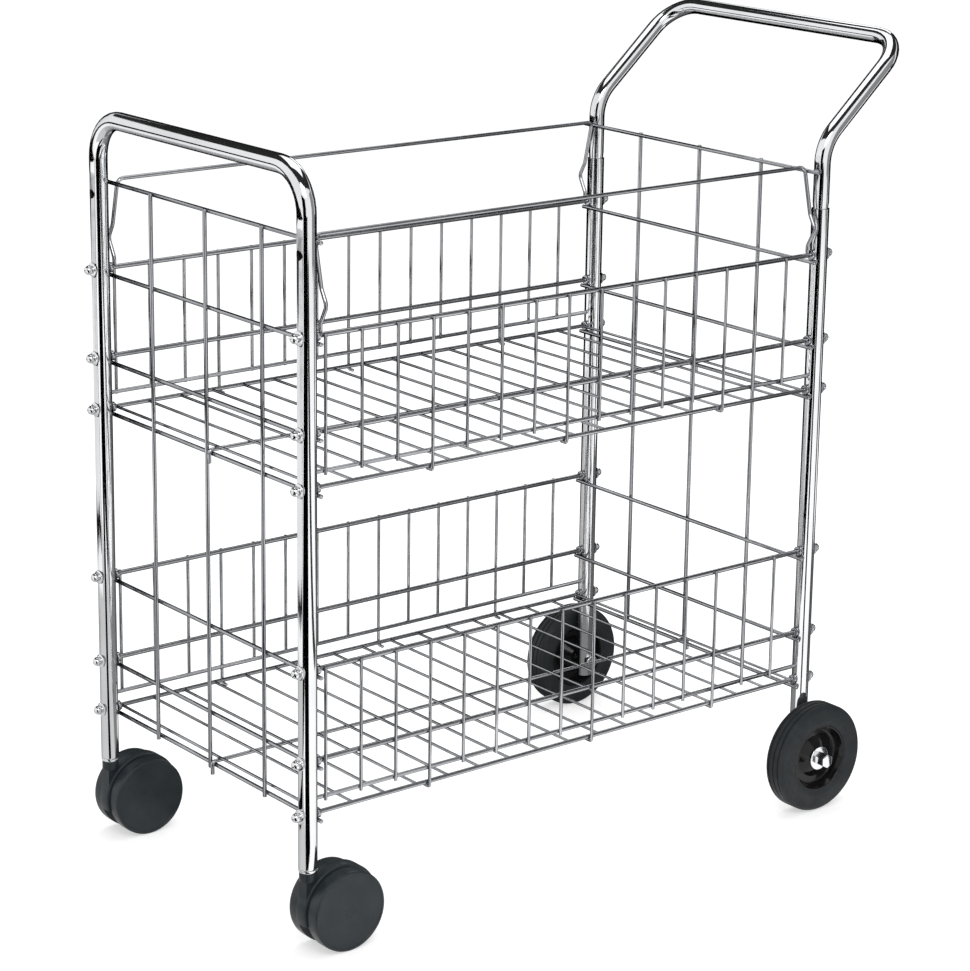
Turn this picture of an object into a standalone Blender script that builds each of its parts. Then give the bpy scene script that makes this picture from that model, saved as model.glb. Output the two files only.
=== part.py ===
"""A mail cart of chromed tube and wire: two baskets between an upside-down U frame in front and two
legs with a push handle behind, on two twin-wheel casters and two large fixed wheels.

Lengths are in metres. +X runs from the front legs to the handle, +Z is up, and the origin is on the
floor under the middle of the cart's bounding box.
"""

import math

import bmesh
import bpy
from mathutils import Matrix, Vector

# Fits: the play between pieces that touch, the depth to which welded wires sink into each other,
# and how far a drill runs past the wall that it cuts
GAP = 0.0003
WELD = 0.0004
OVERRUN = 0.001

# Tubes of the frame
WHEELBASE = 0.777
LEG_SPREAD = 0.430
TUBE_DIAMETER = 0.0222
TUBE_WALL = 0.0015
TUBE_SIDES = 12
FRONT_BAR_HEIGHT = 0.9135
FRONT_CORNER_RADIUS = 0.050
FRONT_LEG_FOOT = 0.105
REAR_LEG_TOP = 0.7867
REAR_LEG_FOOT = 0.050
SPARE_HOLE_HEIGHT = 0.821
SPARE_HOLE_DIAMETER = 0.0115
SPARE_HOLE_SIDES = 12

# Push handle
HANDLE_DIAMETER = 0.0205
HANDLE_PLUG_DIAMETER = 0.0185
HANDLE_WALL = 0.0014
HANDLE_PLUG_LENGTH = 0.040
HANDLE_TAPER = 0.008
HANDLE_BEND_HEIGHT = 0.8673
HANDLE_BEND_RADIUS = 0.055
HANDLE_REACH = 0.135
HANDLE_HEIGHT = 0.9861
HANDLE_CORNER_RADIUS = 0.047

# Heights of the six screws on every leg, from the top one down: the rim, the middle wire and the
# floor of the upper basket, then of the lower one
UPPER_LEVELS = (0.729, 0.620, 0.556)
LOWER_LEVELS = (0.343, 0.234, 0.170)

# Ball-head screws and the weld nuts on the wires that they hold
SCREW_DIAMETER = 0.004
SCREW_HOLE_PLAY = 0.00035
SCREW_FLANGE_DIAMETER = 0.0174
SCREW_FLANGE_THICKNESS = 0.002
SCREW_BALL_DIAMETER = 0.0118
SCREW_NECK_DIAMETER = 0.0088
SCREW_CROWN_DIAMETER = 0.0070
SCREW_CROWN_HEIGHT = 0.0015
SCREW_HEAD_HEIGHT = 0.0088
NUT_DIAMETER = 0.0124
NUT_THICKNESS = 0.0044
NUT_BORE_DIAMETER = 0.0054
NUT_BORE_DEPTH = 0.0034
SCREW_SIDES = 6
SCREW_HEAD_SIDES = 8

# End panels
END_WIRE_DIAMETER = 0.005
END_WIRE_OVERHANG = 0.009
END_TOP_RISE = 0.104
END_UPRIGHT_SPACING = 0.115
END_UPRIGHT_TAIL = 0.004

# Side panels
SIDE_RIM_DIAMETER = 0.006
SIDE_LOW_WIRE_DIAMETER = 0.005
SIDE_LOW_WIRE_RISE = 0.0182
STAVE_DIAMETER = 0.004
STAVE_COUNT = 15
STAVE_FIRST = 0.0217
STAVE_PITCH = 0.0497
STAVE_RISE = 0.002
STAVE_TAIL = 0.004
STAVE_HOOK_RADIUS = 0.003
STAVE_HOOK_REACH = 0.0105
UPPER_HOOKED_STAVES = (3, 7, 12)
LOWER_HOOKED_STAVES = (3, 8, 12)

# Basket floors
FLOOR_RIM_DIAMETER = 0.0053
FLOOR_WIRE_DIAMETER = 0.0035
FLOOR_WIRE_COUNT = 17
FLOOR_WIRE_INSET = 0.0175
CENTRE_WIRE_DIAMETER = 0.0048
CENTRE_WIRE_OFFSET = -0.006
CENTRE_HOOK_PLAY = 0.0006
CENTRE_HOOK_DROP = 0.016
CENTRE_HOOK_RADIUS = 0.004

# File rails
RAIL_DIAMETER = 0.0048
RAIL_SPREAD = 0.406
RAIL_TOP_RADIUS = 0.008
RAIL_BEND_RADIUS = 0.010
RAIL_NECK_SPREAD = 0.432
RAIL_NECK_RISE = 0.052
RAIL_BULGE_SPREAD = 0.452
RAIL_BULGE_RISE = 0.034
RAIL_FOOT_SPREAD = 0.428
RAIL_FOOT_RISE = 0.012
RAIL_FOOT_PLAY = 0.0004

# Front casters
CASTER_RADIUS = 0.049
CASTER_TRAIL = 0.041
CASTER_WHEEL_INNER = 0.0095
CASTER_WHEEL_OUTER = 0.0273
CASTER_FACE_RADIUS = 0.045
CASTER_SHOULDER_RADIUS = 0.048
CASTER_SHOULDER_DEPTH = 0.0015
CASTER_TREAD_DEPTH = 0.005
CASTER_BACK_BEVEL = 0.002
CASTER_SIDES = 18
CASTER_AXLE_DIAMETER = 0.008
CASTER_AXLE_HALF = 0.0235
CASTER_BORE_PLAY = 0.0004
HOOD_RADIUS = 0.052
HOOD_CORE_RADIUS = 0.044
HOOD_HALF_WIDTH = 0.009
HOOD_DROOP = math.radians(15)
HOOD_STEP = math.radians(15)
NECK_DIAMETER = 0.023
NECK_TOP = 0.101
NECK_SINK = 0.006
WEB_HALF_LENGTH = 0.0085
STEM_DIAMETER = 0.011
STEM_HEIGHT = 0.034
SOCKET_DEPTH = 0.036
SOCKET_BORE_PLAY = 0.0006

# Rear wheels and the bolts that carry them
TYRE_RADIUS = 0.071
TYRE_BORE_RADIUS = 0.044
TYRE_WIDTH = 0.0321
TYRE_LEG_GAP = 0.0016
TYRE_SHOULDER = 0.0045
TYRE_WALL_RADIUS = 0.050
TYRE_WALL_BULGE = 0.0022
TYRE_GROOVE_COUNT = 3
TYRE_GROOVE_WIDTH = 0.0022
TYRE_GROOVE_DEPTH = 0.0018
TYRE_SIDES = 18
RIM_LIP = 0.0022
RIM_DISH_RADIUS = 0.037
RIM_DISH_DEPTH = 0.0125
RIM_PLATE = 0.0022
HUB_FOOT_RADIUS = 0.027
HUB_RADIUS = 0.0135
HUB_RECESS = 0.0012
AXLE_DIAMETER = 0.012
AXLE_PLAY = 0.0004
AXLE_END = 0.0016
AXLE_HEAD_DIAMETER = 0.018
AXLE_HEAD_THICKNESS = 0.0067
AXLE_NUT_DIAMETER = 0.0185
AXLE_NUT_THICKNESS = 0.0129
WASHER_DIAMETER = 0.031
WASHER_THICKNESS = 0.0022
AXLE_SIDES = 12

# Sizes that follow from the ones above
TUBE_RADIUS = TUBE_DIAMETER / 2
TUBE_FLAT = TUBE_RADIUS * math.cos(math.pi / TUBE_SIDES)
FACET_TURN = math.pi / TUBE_SIDES
HALF_SPREAD = LEG_SPREAD / 2
SCREW_REACH = TUBE_FLAT + GAP + SCREW_FLANGE_THICKNESS + SCREW_HEAD_HEIGHT
FRONT_X = SCREW_REACH - (SCREW_REACH + WHEELBASE + HANDLE_REACH + HANDLE_DIAMETER / 2) / 2
REAR_X = FRONT_X + WHEELBASE
SEAT = TUBE_FLAT + GAP
NUT_RADIUS = NUT_DIAMETER / 2
END_WIRE_DROP = NUT_RADIUS + GAP + END_WIRE_DIAMETER / 2
END_WIRE_INSET = SEAT + END_WIRE_DIAMETER / 2
END_TOP = UPPER_LEVELS[0] + END_TOP_RISE
HEX_TURN = math.pi / 6
SIDES = {"near": -1, "far": 1}

CHROME = {"colour": (0.80, 0.81, 0.83), "roughness": 0.10, "metallic": 1.0}
PLASTIC = {"colour": (0.045, 0.052, 0.060), "roughness": 0.45, "metallic": 0.0}
RUBBER = {"colour": (0.030, 0.034, 0.038), "roughness": 0.65, "metallic": 0.0}
GLOSS_BLACK = {"colour": (0.010, 0.010, 0.011), "roughness": 0.15, "metallic": 0.0}
STEEL = {"colour": (0.60, 0.60, 0.61), "roughness": 0.25, "metallic": 1.0}


def clear_scene():
    """Removes every object and gives the collections for the cart's parts and for the tools."""
    for thing in list(bpy.data.objects):
        bpy.data.objects.remove(thing)
    groups = []
    for name in ("mail_cart", "tools"):
        group = bpy.data.collections.new(name)
        bpy.context.scene.collection.children.link(group)
        groups.append(group)
    return groups


PARTS, TOOLS = clear_scene()


def finish(name, colour, roughness, metallic):
    """A Principled BSDF material."""
    made = bpy.data.materials.new(name)
    made.use_nodes = True
    shader = made.node_tree.nodes["Principled BSDF"]
    shader.inputs["Base Color"].default_value = (*colour, 1.0)
    shader.inputs["Roughness"].default_value = roughness
    shader.inputs["Metallic"].default_value = metallic
    return made


def add_part(thing, name, look, parent=None):
    """Files an object as a part of the cart, with its own material, under its parent's frame."""
    thing.name = name
    thing.data.materials.clear()
    thing.data.materials.append(finish(name, **look))
    PARTS.objects.link(thing)
    if parent is not None:
        thing.parent = parent
    return thing


def mesh_object(name, made):
    """Turns a bmesh into an object with smooth round faces and sharp edges."""
    mesh = bpy.data.meshes.new(name)
    made.to_mesh(mesh)
    made.free()
    mesh.shade_smooth()
    mesh.set_sharp_from_angle(angle=math.radians(40))
    return bpy.data.objects.new(name, mesh)


def wire_curve(name, lines, diameter, sides=6, turn=0.0, caps=True, shares=None):
    """A curve object with one poly spline for each line of points, swept by a round section.

    turn rolls the section about each line, and shares scales it at the points of a single line.
    """
    curve = bpy.data.curves.new(name, "CURVE")
    curve.dimensions = "3D"
    curve.bevel_depth = diameter / 2
    curve.bevel_resolution = (sides - 4) // 2
    curve.use_fill_caps = caps
    for line in lines:
        spline = curve.splines.new("POLY")
        spline.points.add(len(line) - 1)
        for index, (point, place) in enumerate(zip(spline.points, line)):
            point.co = (*place, 1.0)
            point.tilt = turn
            point.radius = shares[index] if shares else 1.0
    return bpy.data.objects.new(name, curve)


def curve_to_mesh(source):
    """A mesh object with the evaluated shape of a curve object, its caps welded on."""
    TOOLS.objects.link(source)
    scene_state = bpy.context.evaluated_depsgraph_get()
    mesh = bpy.data.meshes.new_from_object(source.evaluated_get(scene_state))
    made = bmesh.new()
    made.from_mesh(mesh)
    bmesh.ops.remove_doubles(made, verts=made.verts, dist=GAP / 100)
    made.to_mesh(mesh)
    made.free()
    solid = bpy.data.objects.new(source.name, mesh)
    solid.matrix_world = source.matrix_world
    bpy.data.objects.remove(source)
    return solid


def turned(name, profile, sides, matrix):
    """A body turned about its local Z axis from (radius, height) points, from the top down."""
    made = bmesh.new()
    points = [made.verts.new((radius, 0.0, height)) for radius, height in profile]
    closed = profile[0][0] > 0
    for first, second in zip(points, points[1:] + points[:1] if closed else points[1:]):
        made.edges.new((first, second))
    mesh = bpy.data.meshes.new(name)
    made.to_mesh(mesh)
    made.free()
    body = bpy.data.objects.new(name, mesh)
    body.matrix_world = matrix
    turn = body.modifiers.new("turn", "SCREW")
    turn.steps = sides
    turn.render_steps = sides
    turn.use_merge_vertices = True
    turn.merge_threshold = GAP / 100
    turn.use_smooth_shade = True
    return body


def rod(name, start, end, diameter, sides, turn=0.0):
    """A closed cylinder between two points, rolled by turn about its own axis."""
    start, end = Vector(start), Vector(end)
    made = bmesh.new()
    bmesh.ops.create_cone(made, cap_ends=True, segments=sides, radius1=diameter / 2,
                          radius2=diameter / 2, depth=(end - start).length)
    body = mesh_object(name, made)
    aim = (end - start).to_track_quat("Z", "Y").to_matrix().to_4x4()
    body.matrix_world = Matrix.Translation((start + end) / 2) @ aim @ Matrix.Rotation(turn, 4, "Z")
    return body


def combine(body, operation, tools):
    """Joins tools to a body or cuts them from it with one exact Boolean."""
    group = bpy.data.collections.new(body.name + "_" + operation.lower())
    TOOLS.children.link(group)
    for tool in tools:
        tool.hide_render = True
        tool.display_type = "WIRE"
        group.objects.link(tool)
    step = body.modifiers.new(operation.lower(), "BOOLEAN")
    step.operation = operation
    step.operand_type = "COLLECTION"
    step.collection = group
    step.solver = "EXACT"
    return body


def hollow(tube, wall):
    """Gives an open swept tube its wall, inside its surface."""
    shell = tube.modifiers.new("wall", "SOLIDIFY")
    shell.thickness = wall
    shell.offset = -1.0
    return tube


def rounded(corners, radii, steps):
    """The corner points with each inner corner replaced by an arc that takes up to half of the
    shorter run beside it; a radius of 0 keeps the corner sharp."""
    line = [Vector(corners[0])]
    for before, corner, after, radius in zip(corners, corners[1:], corners[2:], radii):
        corner = Vector(corner)
        back = Vector(before) - corner
        ahead = Vector(after) - corner
        if radius == 0:
            line.append(corner)
            continue
        half = back.angle(ahead) / 2
        radius = min(radius, min(back.length, ahead.length) / 2 * math.tan(half))
        back.normalize()
        ahead.normalize()
        middle = corner + (back + ahead).normalized() * radius / math.sin(half)
        start = (corner + back * radius / math.tan(half) - middle).normalized()
        end = (corner + ahead * radius / math.tan(half) - middle).normalized()
        for index in range(steps + 1):
            line.append(middle + radius * start.slerp(end, index / steps))
    line.append(Vector(corners[-1]))
    return line


def along_x(place, outward=1, turn=0.0):
    """The matrix that lays a turned body's axis along +X or -X at a place."""
    lay = Matrix.Rotation(outward * math.pi / 2, 4, "Y")
    return Matrix.Translation(place) @ lay @ Matrix.Rotation(turn, 4, "Z")


def along_y(place, outward=1):
    """The matrix that lays a turned body's axis along +Y or -Y at a place."""
    return Matrix.Translation(place) @ Matrix.Rotation(-outward * math.pi / 2, 4, "X")


def screw_drills(name, x, y):
    """Six drills through a leg at its screws' heights."""
    drills = []
    for number, height in enumerate(UPPER_LEVELS + LOWER_LEVELS, 1):
        start = (x - TUBE_RADIUS - OVERRUN, y, height)
        end = (x + TUBE_RADIUS + OVERRUN, y, height)
        width = SCREW_DIAMETER + 2 * SCREW_HOLE_PLAY
        drills.append(rod(f"{name}_{number}", start, end, width, SCREW_SIDES))
    return drills


def build_front_frame():
    """The bent front tube with its screw holes and the spare hole in the front of each leg."""
    corners = [(FRONT_X, -HALF_SPREAD, FRONT_LEG_FOOT), (FRONT_X, -HALF_SPREAD, FRONT_BAR_HEIGHT),
               (FRONT_X, HALF_SPREAD, FRONT_BAR_HEIGHT), (FRONT_X, HALF_SPREAD, FRONT_LEG_FOOT)]
    line = rounded(corners, (FRONT_CORNER_RADIUS, FRONT_CORNER_RADIUS), 6)
    curve = wire_curve("front_frame", [line], TUBE_DIAMETER, TUBE_SIDES, FACET_TURN, caps=False)
    frame = hollow(curve_to_mesh(curve), TUBE_WALL)
    drills = []
    for side, sign in SIDES.items():
        drills += screw_drills("drill_front_" + side, FRONT_X, sign * HALF_SPREAD)
        mouth = (FRONT_X - TUBE_RADIUS - OVERRUN, sign * HALF_SPREAD, SPARE_HOLE_HEIGHT)
        inside = (FRONT_X, sign * HALF_SPREAD, SPARE_HOLE_HEIGHT)
        drills.append(rod("spare_hole_" + side, mouth, inside, SPARE_HOLE_DIAMETER, SPARE_HOLE_SIDES))
    combine(frame, "DIFFERENCE", drills)
    add_part(frame, "front_frame", CHROME)


def build_rear_legs():
    """The straight rear legs, drilled for the screws and for the axle bolts."""
    for side, sign in SIDES.items():
        y = sign * HALF_SPREAD
        line = [(REAR_X, y, REAR_LEG_FOOT), (REAR_X, y, REAR_LEG_TOP)]
        curve = wire_curve("leg", [line], TUBE_DIAMETER, TUBE_SIDES, FACET_TURN, caps=False)
        leg = hollow(curve_to_mesh(curve), TUBE_WALL)
        drills = screw_drills("drill_rear_" + side, REAR_X, y)
        start = (REAR_X, y - TUBE_RADIUS - OVERRUN, TYRE_RADIUS)
        end = (REAR_X, y + TUBE_RADIUS + OVERRUN, TYRE_RADIUS)
        drills.append(rod("drill_axle_" + side, start, end, AXLE_DIAMETER + 2 * AXLE_PLAY, AXLE_SIDES))
        combine(leg, "DIFFERENCE", drills)
        add_part(leg, "rear_leg_" + side, CHROME)


def build_handle():
    """The bent push handle, whose reduced ends plug into the rear legs."""
    plug_foot = REAR_LEG_TOP - HANDLE_PLUG_LENGTH
    bar_x = REAR_X + HANDLE_REACH
    half = [(REAR_X, plug_foot), (REAR_X, REAR_LEG_TOP), (REAR_X, REAR_LEG_TOP + HANDLE_TAPER),
            (REAR_X, HANDLE_BEND_HEIGHT), (bar_x, HANDLE_HEIGHT)]
    corners = [(x, -HALF_SPREAD, z) for x, z in half]
    corners += [(x, HALF_SPREAD, z) for x, z in reversed(half)]
    radii = (0, 0, HANDLE_BEND_RADIUS, HANDLE_CORNER_RADIUS,
             HANDLE_CORNER_RADIUS, HANDLE_BEND_RADIUS, 0, 0)
    line = rounded(corners, radii, 3)
    plug_share = HANDLE_PLUG_DIAMETER / HANDLE_DIAMETER
    shares = [plug_share, plug_share] + [1.0] * (len(line) - 4) + [plug_share, plug_share]
    curve = wire_curve("handle", [line], HANDLE_DIAMETER, TUBE_SIDES, FACET_TURN, False, shares)
    add_part(hollow(curve_to_mesh(curve), HANDLE_WALL), "handle", CHROME)


def build_end_panels():
    """The wire panels between the two front legs and between the two rear legs."""
    reach = HALF_SPREAD + END_WIRE_OVERHANG
    levels = [END_TOP] + [height - END_WIRE_DROP for height in UPPER_LEVELS + LOWER_LEVELS]
    for end, leg_x, inward in (("front", FRONT_X, 1), ("rear", REAR_X, -1)):
        x = leg_x + inward * END_WIRE_INSET
        crosswise = [((x, -reach, z), (x, reach, z)) for z in levels]
        upright_x = x - inward * (END_WIRE_DIAMETER - WELD)
        foot = levels[-1] - END_UPRIGHT_TAIL
        top = END_TOP + END_WIRE_DIAMETER / 2
        uprights = [((upright_x, y, foot), (upright_x, y, top))
                    for y in (-END_UPRIGHT_SPACING, 0.0, END_UPRIGHT_SPACING)]
        panel = curve_to_mesh(wire_curve(end, crosswise, END_WIRE_DIAMETER))
        tool = curve_to_mesh(wire_curve(end + "_uprights", uprights, END_WIRE_DIAMETER))
        combine(panel, "UNION", [tool])
        add_part(panel, end + "_end_panel", CHROME)


def nutted_wire(name, diameter, y, height, turn):
    """A lengthwise wire with a weld nut on each end, whose bores take the screws' tips."""
    half = WHEELBASE / 2 - SEAT
    upper = [(0.0, half - NUT_BORE_DEPTH), (NUT_BORE_DIAMETER / 2, half - NUT_BORE_DEPTH),
             (NUT_BORE_DIAMETER / 2, half), (NUT_RADIUS, half),
             (NUT_RADIUS, half - NUT_THICKNESS), (diameter / 2, half - NUT_THICKNESS)]
    profile = upper + [(radius, -along) for radius, along in reversed(upper)]
    middle = ((FRONT_X + REAR_X) / 2, y, height)
    return turned(name, profile, SCREW_SIDES, along_x(middle, turn=turn))


def stave_line(x, sign, top, foot, hook_height):
    """The points of one upright of a side panel; hook_height is None for a straight one."""
    y = HALF_SPREAD + SIDE_RIM_DIAMETER / 2 + STAVE_DIAMETER / 2 - WELD
    if hook_height is None:
        return [(x, sign * y, foot), (x, sign * y, top)]
    tip = (x, sign * (y - STAVE_HOOK_REACH), hook_height)
    return rounded([tip, (x, sign * y, hook_height), (x, sign * y, top)], (STAVE_HOOK_RADIUS,), 2)


def build_side_panel(basket, side, sign, levels, hooked):
    """One side of a basket: three lengthwise wires with the uprights welded on their outside."""
    rim_z, middle_z, floor_z = levels
    y = sign * HALF_SPREAD
    low_z = floor_z + SIDE_LOW_WIRE_RISE
    name = f"{basket}_side_{side}"
    panel = nutted_wire(name, SIDE_RIM_DIAMETER, y, rim_z, HEX_TURN)
    middle = nutted_wire(name + "_middle", SIDE_RIM_DIAMETER, y, middle_z, HEX_TURN)
    low_y = y + sign * (SIDE_RIM_DIAMETER - SIDE_LOW_WIRE_DIAMETER) / 2
    low_line = [(FRONT_X + SEAT, low_y, low_z), (REAR_X - SEAT, low_y, low_z)]
    low = curve_to_mesh(wire_curve(name + "_low", [low_line], SIDE_LOW_WIRE_DIAMETER))
    hook_z = floor_z - FLOOR_RIM_DIAMETER / 2 - GAP - STAVE_DIAMETER / 2
    staves = []
    for index in range(STAVE_COUNT):
        x = FRONT_X + STAVE_FIRST + index * STAVE_PITCH
        hook = hook_z if index in hooked else None
        staves.append(stave_line(x, sign, rim_z + STAVE_RISE, low_z - STAVE_TAIL, hook))
    uprights = curve_to_mesh(wire_curve(name + "_staves", staves, STAVE_DIAMETER, turn=HEX_TURN))
    combine(panel, "UNION", [middle, low, uprights])
    add_part(panel, name, CHROME)


def centre_wire_line(floor_z):
    """The lengthwise wire under a floor, whose ends hook down outside the end panels."""
    z = floor_z - FLOOR_WIRE_DIAMETER / 2 - CENTRE_WIRE_DIAMETER / 2 + WELD
    inset = END_WIRE_INSET - (END_WIRE_DIAMETER + CENTRE_WIRE_DIAMETER) / 2 - CENTRE_HOOK_PLAY
    front, rear = FRONT_X + inset, REAR_X - inset
    y = CENTRE_WIRE_OFFSET
    corners = [(front, y, z - CENTRE_HOOK_DROP), (front, y, z), (rear, y, z),
               (rear, y, z - CENTRE_HOOK_DROP)]
    return rounded(corners, (CENTRE_HOOK_RADIUS, CENTRE_HOOK_RADIUS), 2)


def build_floor(name, floor_z):
    """A basket's floor: two rims, the crosswise wires between them and the wire below those."""
    near = nutted_wire(name, FLOOR_RIM_DIAMETER, -HALF_SPREAD, floor_z, 0.0)
    far = nutted_wire(name + "_far_rim", FLOOR_RIM_DIAMETER, HALF_SPREAD, floor_z, 0.0)
    reach = HALF_SPREAD - FLOOR_RIM_DIAMETER / 6
    pitch = (WHEELBASE - 2 * FLOOR_WIRE_INSET) / (FLOOR_WIRE_COUNT - 1)
    crosswise = []
    for index in range(FLOOR_WIRE_COUNT):
        x = FRONT_X + FLOOR_WIRE_INSET + index * pitch
        crosswise.append(((x, -reach, floor_z), (x, reach, floor_z)))
    wires = curve_to_mesh(wire_curve(name + "_wires", crosswise, FLOOR_WIRE_DIAMETER, turn=HEX_TURN))
    line = centre_wire_line(floor_z)
    centre = curve_to_mesh(wire_curve(name + "_centre", [line], CENTRE_WIRE_DIAMETER, turn=HEX_TURN))
    combine(near, "UNION", [far, wires, centre])
    add_part(near, name, CHROME)


def build_file_rails():
    """The rails for hanging folders, whose bent ends stand on the upper basket's rims."""
    rim_z = UPPER_LEVELS[0]
    foot_z = rim_z + SIDE_RIM_DIAMETER / 2 * math.cos(HEX_TURN) + RAIL_FOOT_PLAY
    top_z = END_TOP + END_WIRE_DIAMETER / 2 + GAP + RAIL_DIAMETER / 2
    inset = END_WIRE_INSET + END_WIRE_DIAMETER / 2 + GAP + RAIL_DIAMETER / 2
    drop = ((RAIL_FOOT_SPREAD, foot_z), (RAIL_FOOT_SPREAD, rim_z + RAIL_FOOT_RISE),
            (RAIL_BULGE_SPREAD, rim_z + RAIL_BULGE_RISE), (RAIL_NECK_SPREAD, rim_z + RAIL_NECK_RISE),
            (RAIL_SPREAD, top_z))
    radii = (RAIL_BEND_RADIUS,) * 3 + (RAIL_TOP_RADIUS,)
    for side, sign in SIDES.items():
        front = [(FRONT_X + inset, sign * spread / 2, z) for spread, z in drop]
        rear = [(REAR_X - inset, sign * spread / 2, z) for spread, z in reversed(drop)]
        line = rounded(front + rear, radii + radii[::-1], 2)
        add_part(wire_curve("rail", [line], RAIL_DIAMETER, 8), "file_rail_" + side, CHROME)


def build_screws():
    """The ball-head screws through the legs into the weld nuts, six to a leg."""
    flange_top = SEAT + SCREW_FLANGE_THICKNESS
    profile = [(0.0, SCREW_REACH),
               (SCREW_CROWN_DIAMETER / 2, SCREW_REACH - SCREW_CROWN_HEIGHT),
               (SCREW_BALL_DIAMETER / 2, SCREW_REACH - SCREW_HEAD_HEIGHT / 2),
               (SCREW_NECK_DIAMETER / 2, flange_top),
               (SCREW_FLANGE_DIAMETER / 2, SEAT + SCREW_FLANGE_THICKNESS / 2),
               (SCREW_FLANGE_DIAMETER / 2, SEAT),
               (SCREW_DIAMETER / 2, SEAT),
               (SCREW_DIAMETER / 2, GAP - SEAT - NUT_BORE_DEPTH),
               (0.0, GAP - SEAT - NUT_BORE_DEPTH)]
    for end, x, outward in (("front", FRONT_X, -1), ("rear", REAR_X, 1)):
        for side, sign in SIDES.items():
            for number, height in enumerate(UPPER_LEVELS + LOWER_LEVELS, 1):
                place = (x, sign * HALF_SPREAD, height)
                screw = turned("screw", profile, SCREW_HEAD_SIDES, along_x(place, outward))
                add_part(screw, f"screw_{end}_{side}_{number}", CHROME)


def facet_radius(radius, sides):
    """The corner radius of a wheel whose flats lie at its true radius."""
    return radius / math.cos(math.pi / sides)


def arc(radius, start, end, step):
    """Points on a circle about the origin from one angle to another."""
    count = max(1, round(abs(end - start) / step))
    return [(radius * math.cos(start + (end - start) * index / count),
             radius * math.sin(start + (end - start) * index / count)) for index in range(count + 1)]


def hood_outline():
    """The side outline of a caster's housing about its axle: a hood, a web up to the neck and a
    smaller core below that clears the floor."""
    rear, front = WEB_HALF_LENGTH - CASTER_TRAIL, -WEB_HALF_LENGTH - CASTER_TRAIL
    web_top = NECK_TOP - CASTER_RADIUS - NECK_SINK
    top_end, front_start = math.acos(rear / HOOD_RADIUS), math.acos(front / HOOD_RADIUS)
    return (arc(HOOD_RADIUS, -HOOD_DROOP, top_end, HOOD_STEP)
            + [(rear, web_top), (front, web_top)]
            + arc(HOOD_RADIUS, front_start, math.pi + HOOD_DROOP, HOOD_STEP)
            + arc(HOOD_CORE_RADIUS, math.pi + HOOD_DROOP, 2 * math.pi - HOOD_DROOP, HOOD_STEP))


def outline_plate(name, outline, half_width, place):
    """A flat outline in the XZ plane, given thickness along Y about a place."""
    curve = bpy.data.curves.new(name, "CURVE")
    curve.dimensions = "2D"
    curve.fill_mode = "BOTH"
    curve.extrude = half_width
    spline = curve.splines.new("POLY")
    spline.points.add(len(outline) - 1)
    for point, (x, y) in zip(spline.points, outline):
        point.co = (x, y, 0.0, 1.0)
    spline.use_cyclic_u = True
    plate = bpy.data.objects.new(name, curve)
    plate.matrix_world = Matrix.Translation(place) @ Matrix.Rotation(math.pi / 2, 4, "X")
    return curve_to_mesh(plate)


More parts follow.
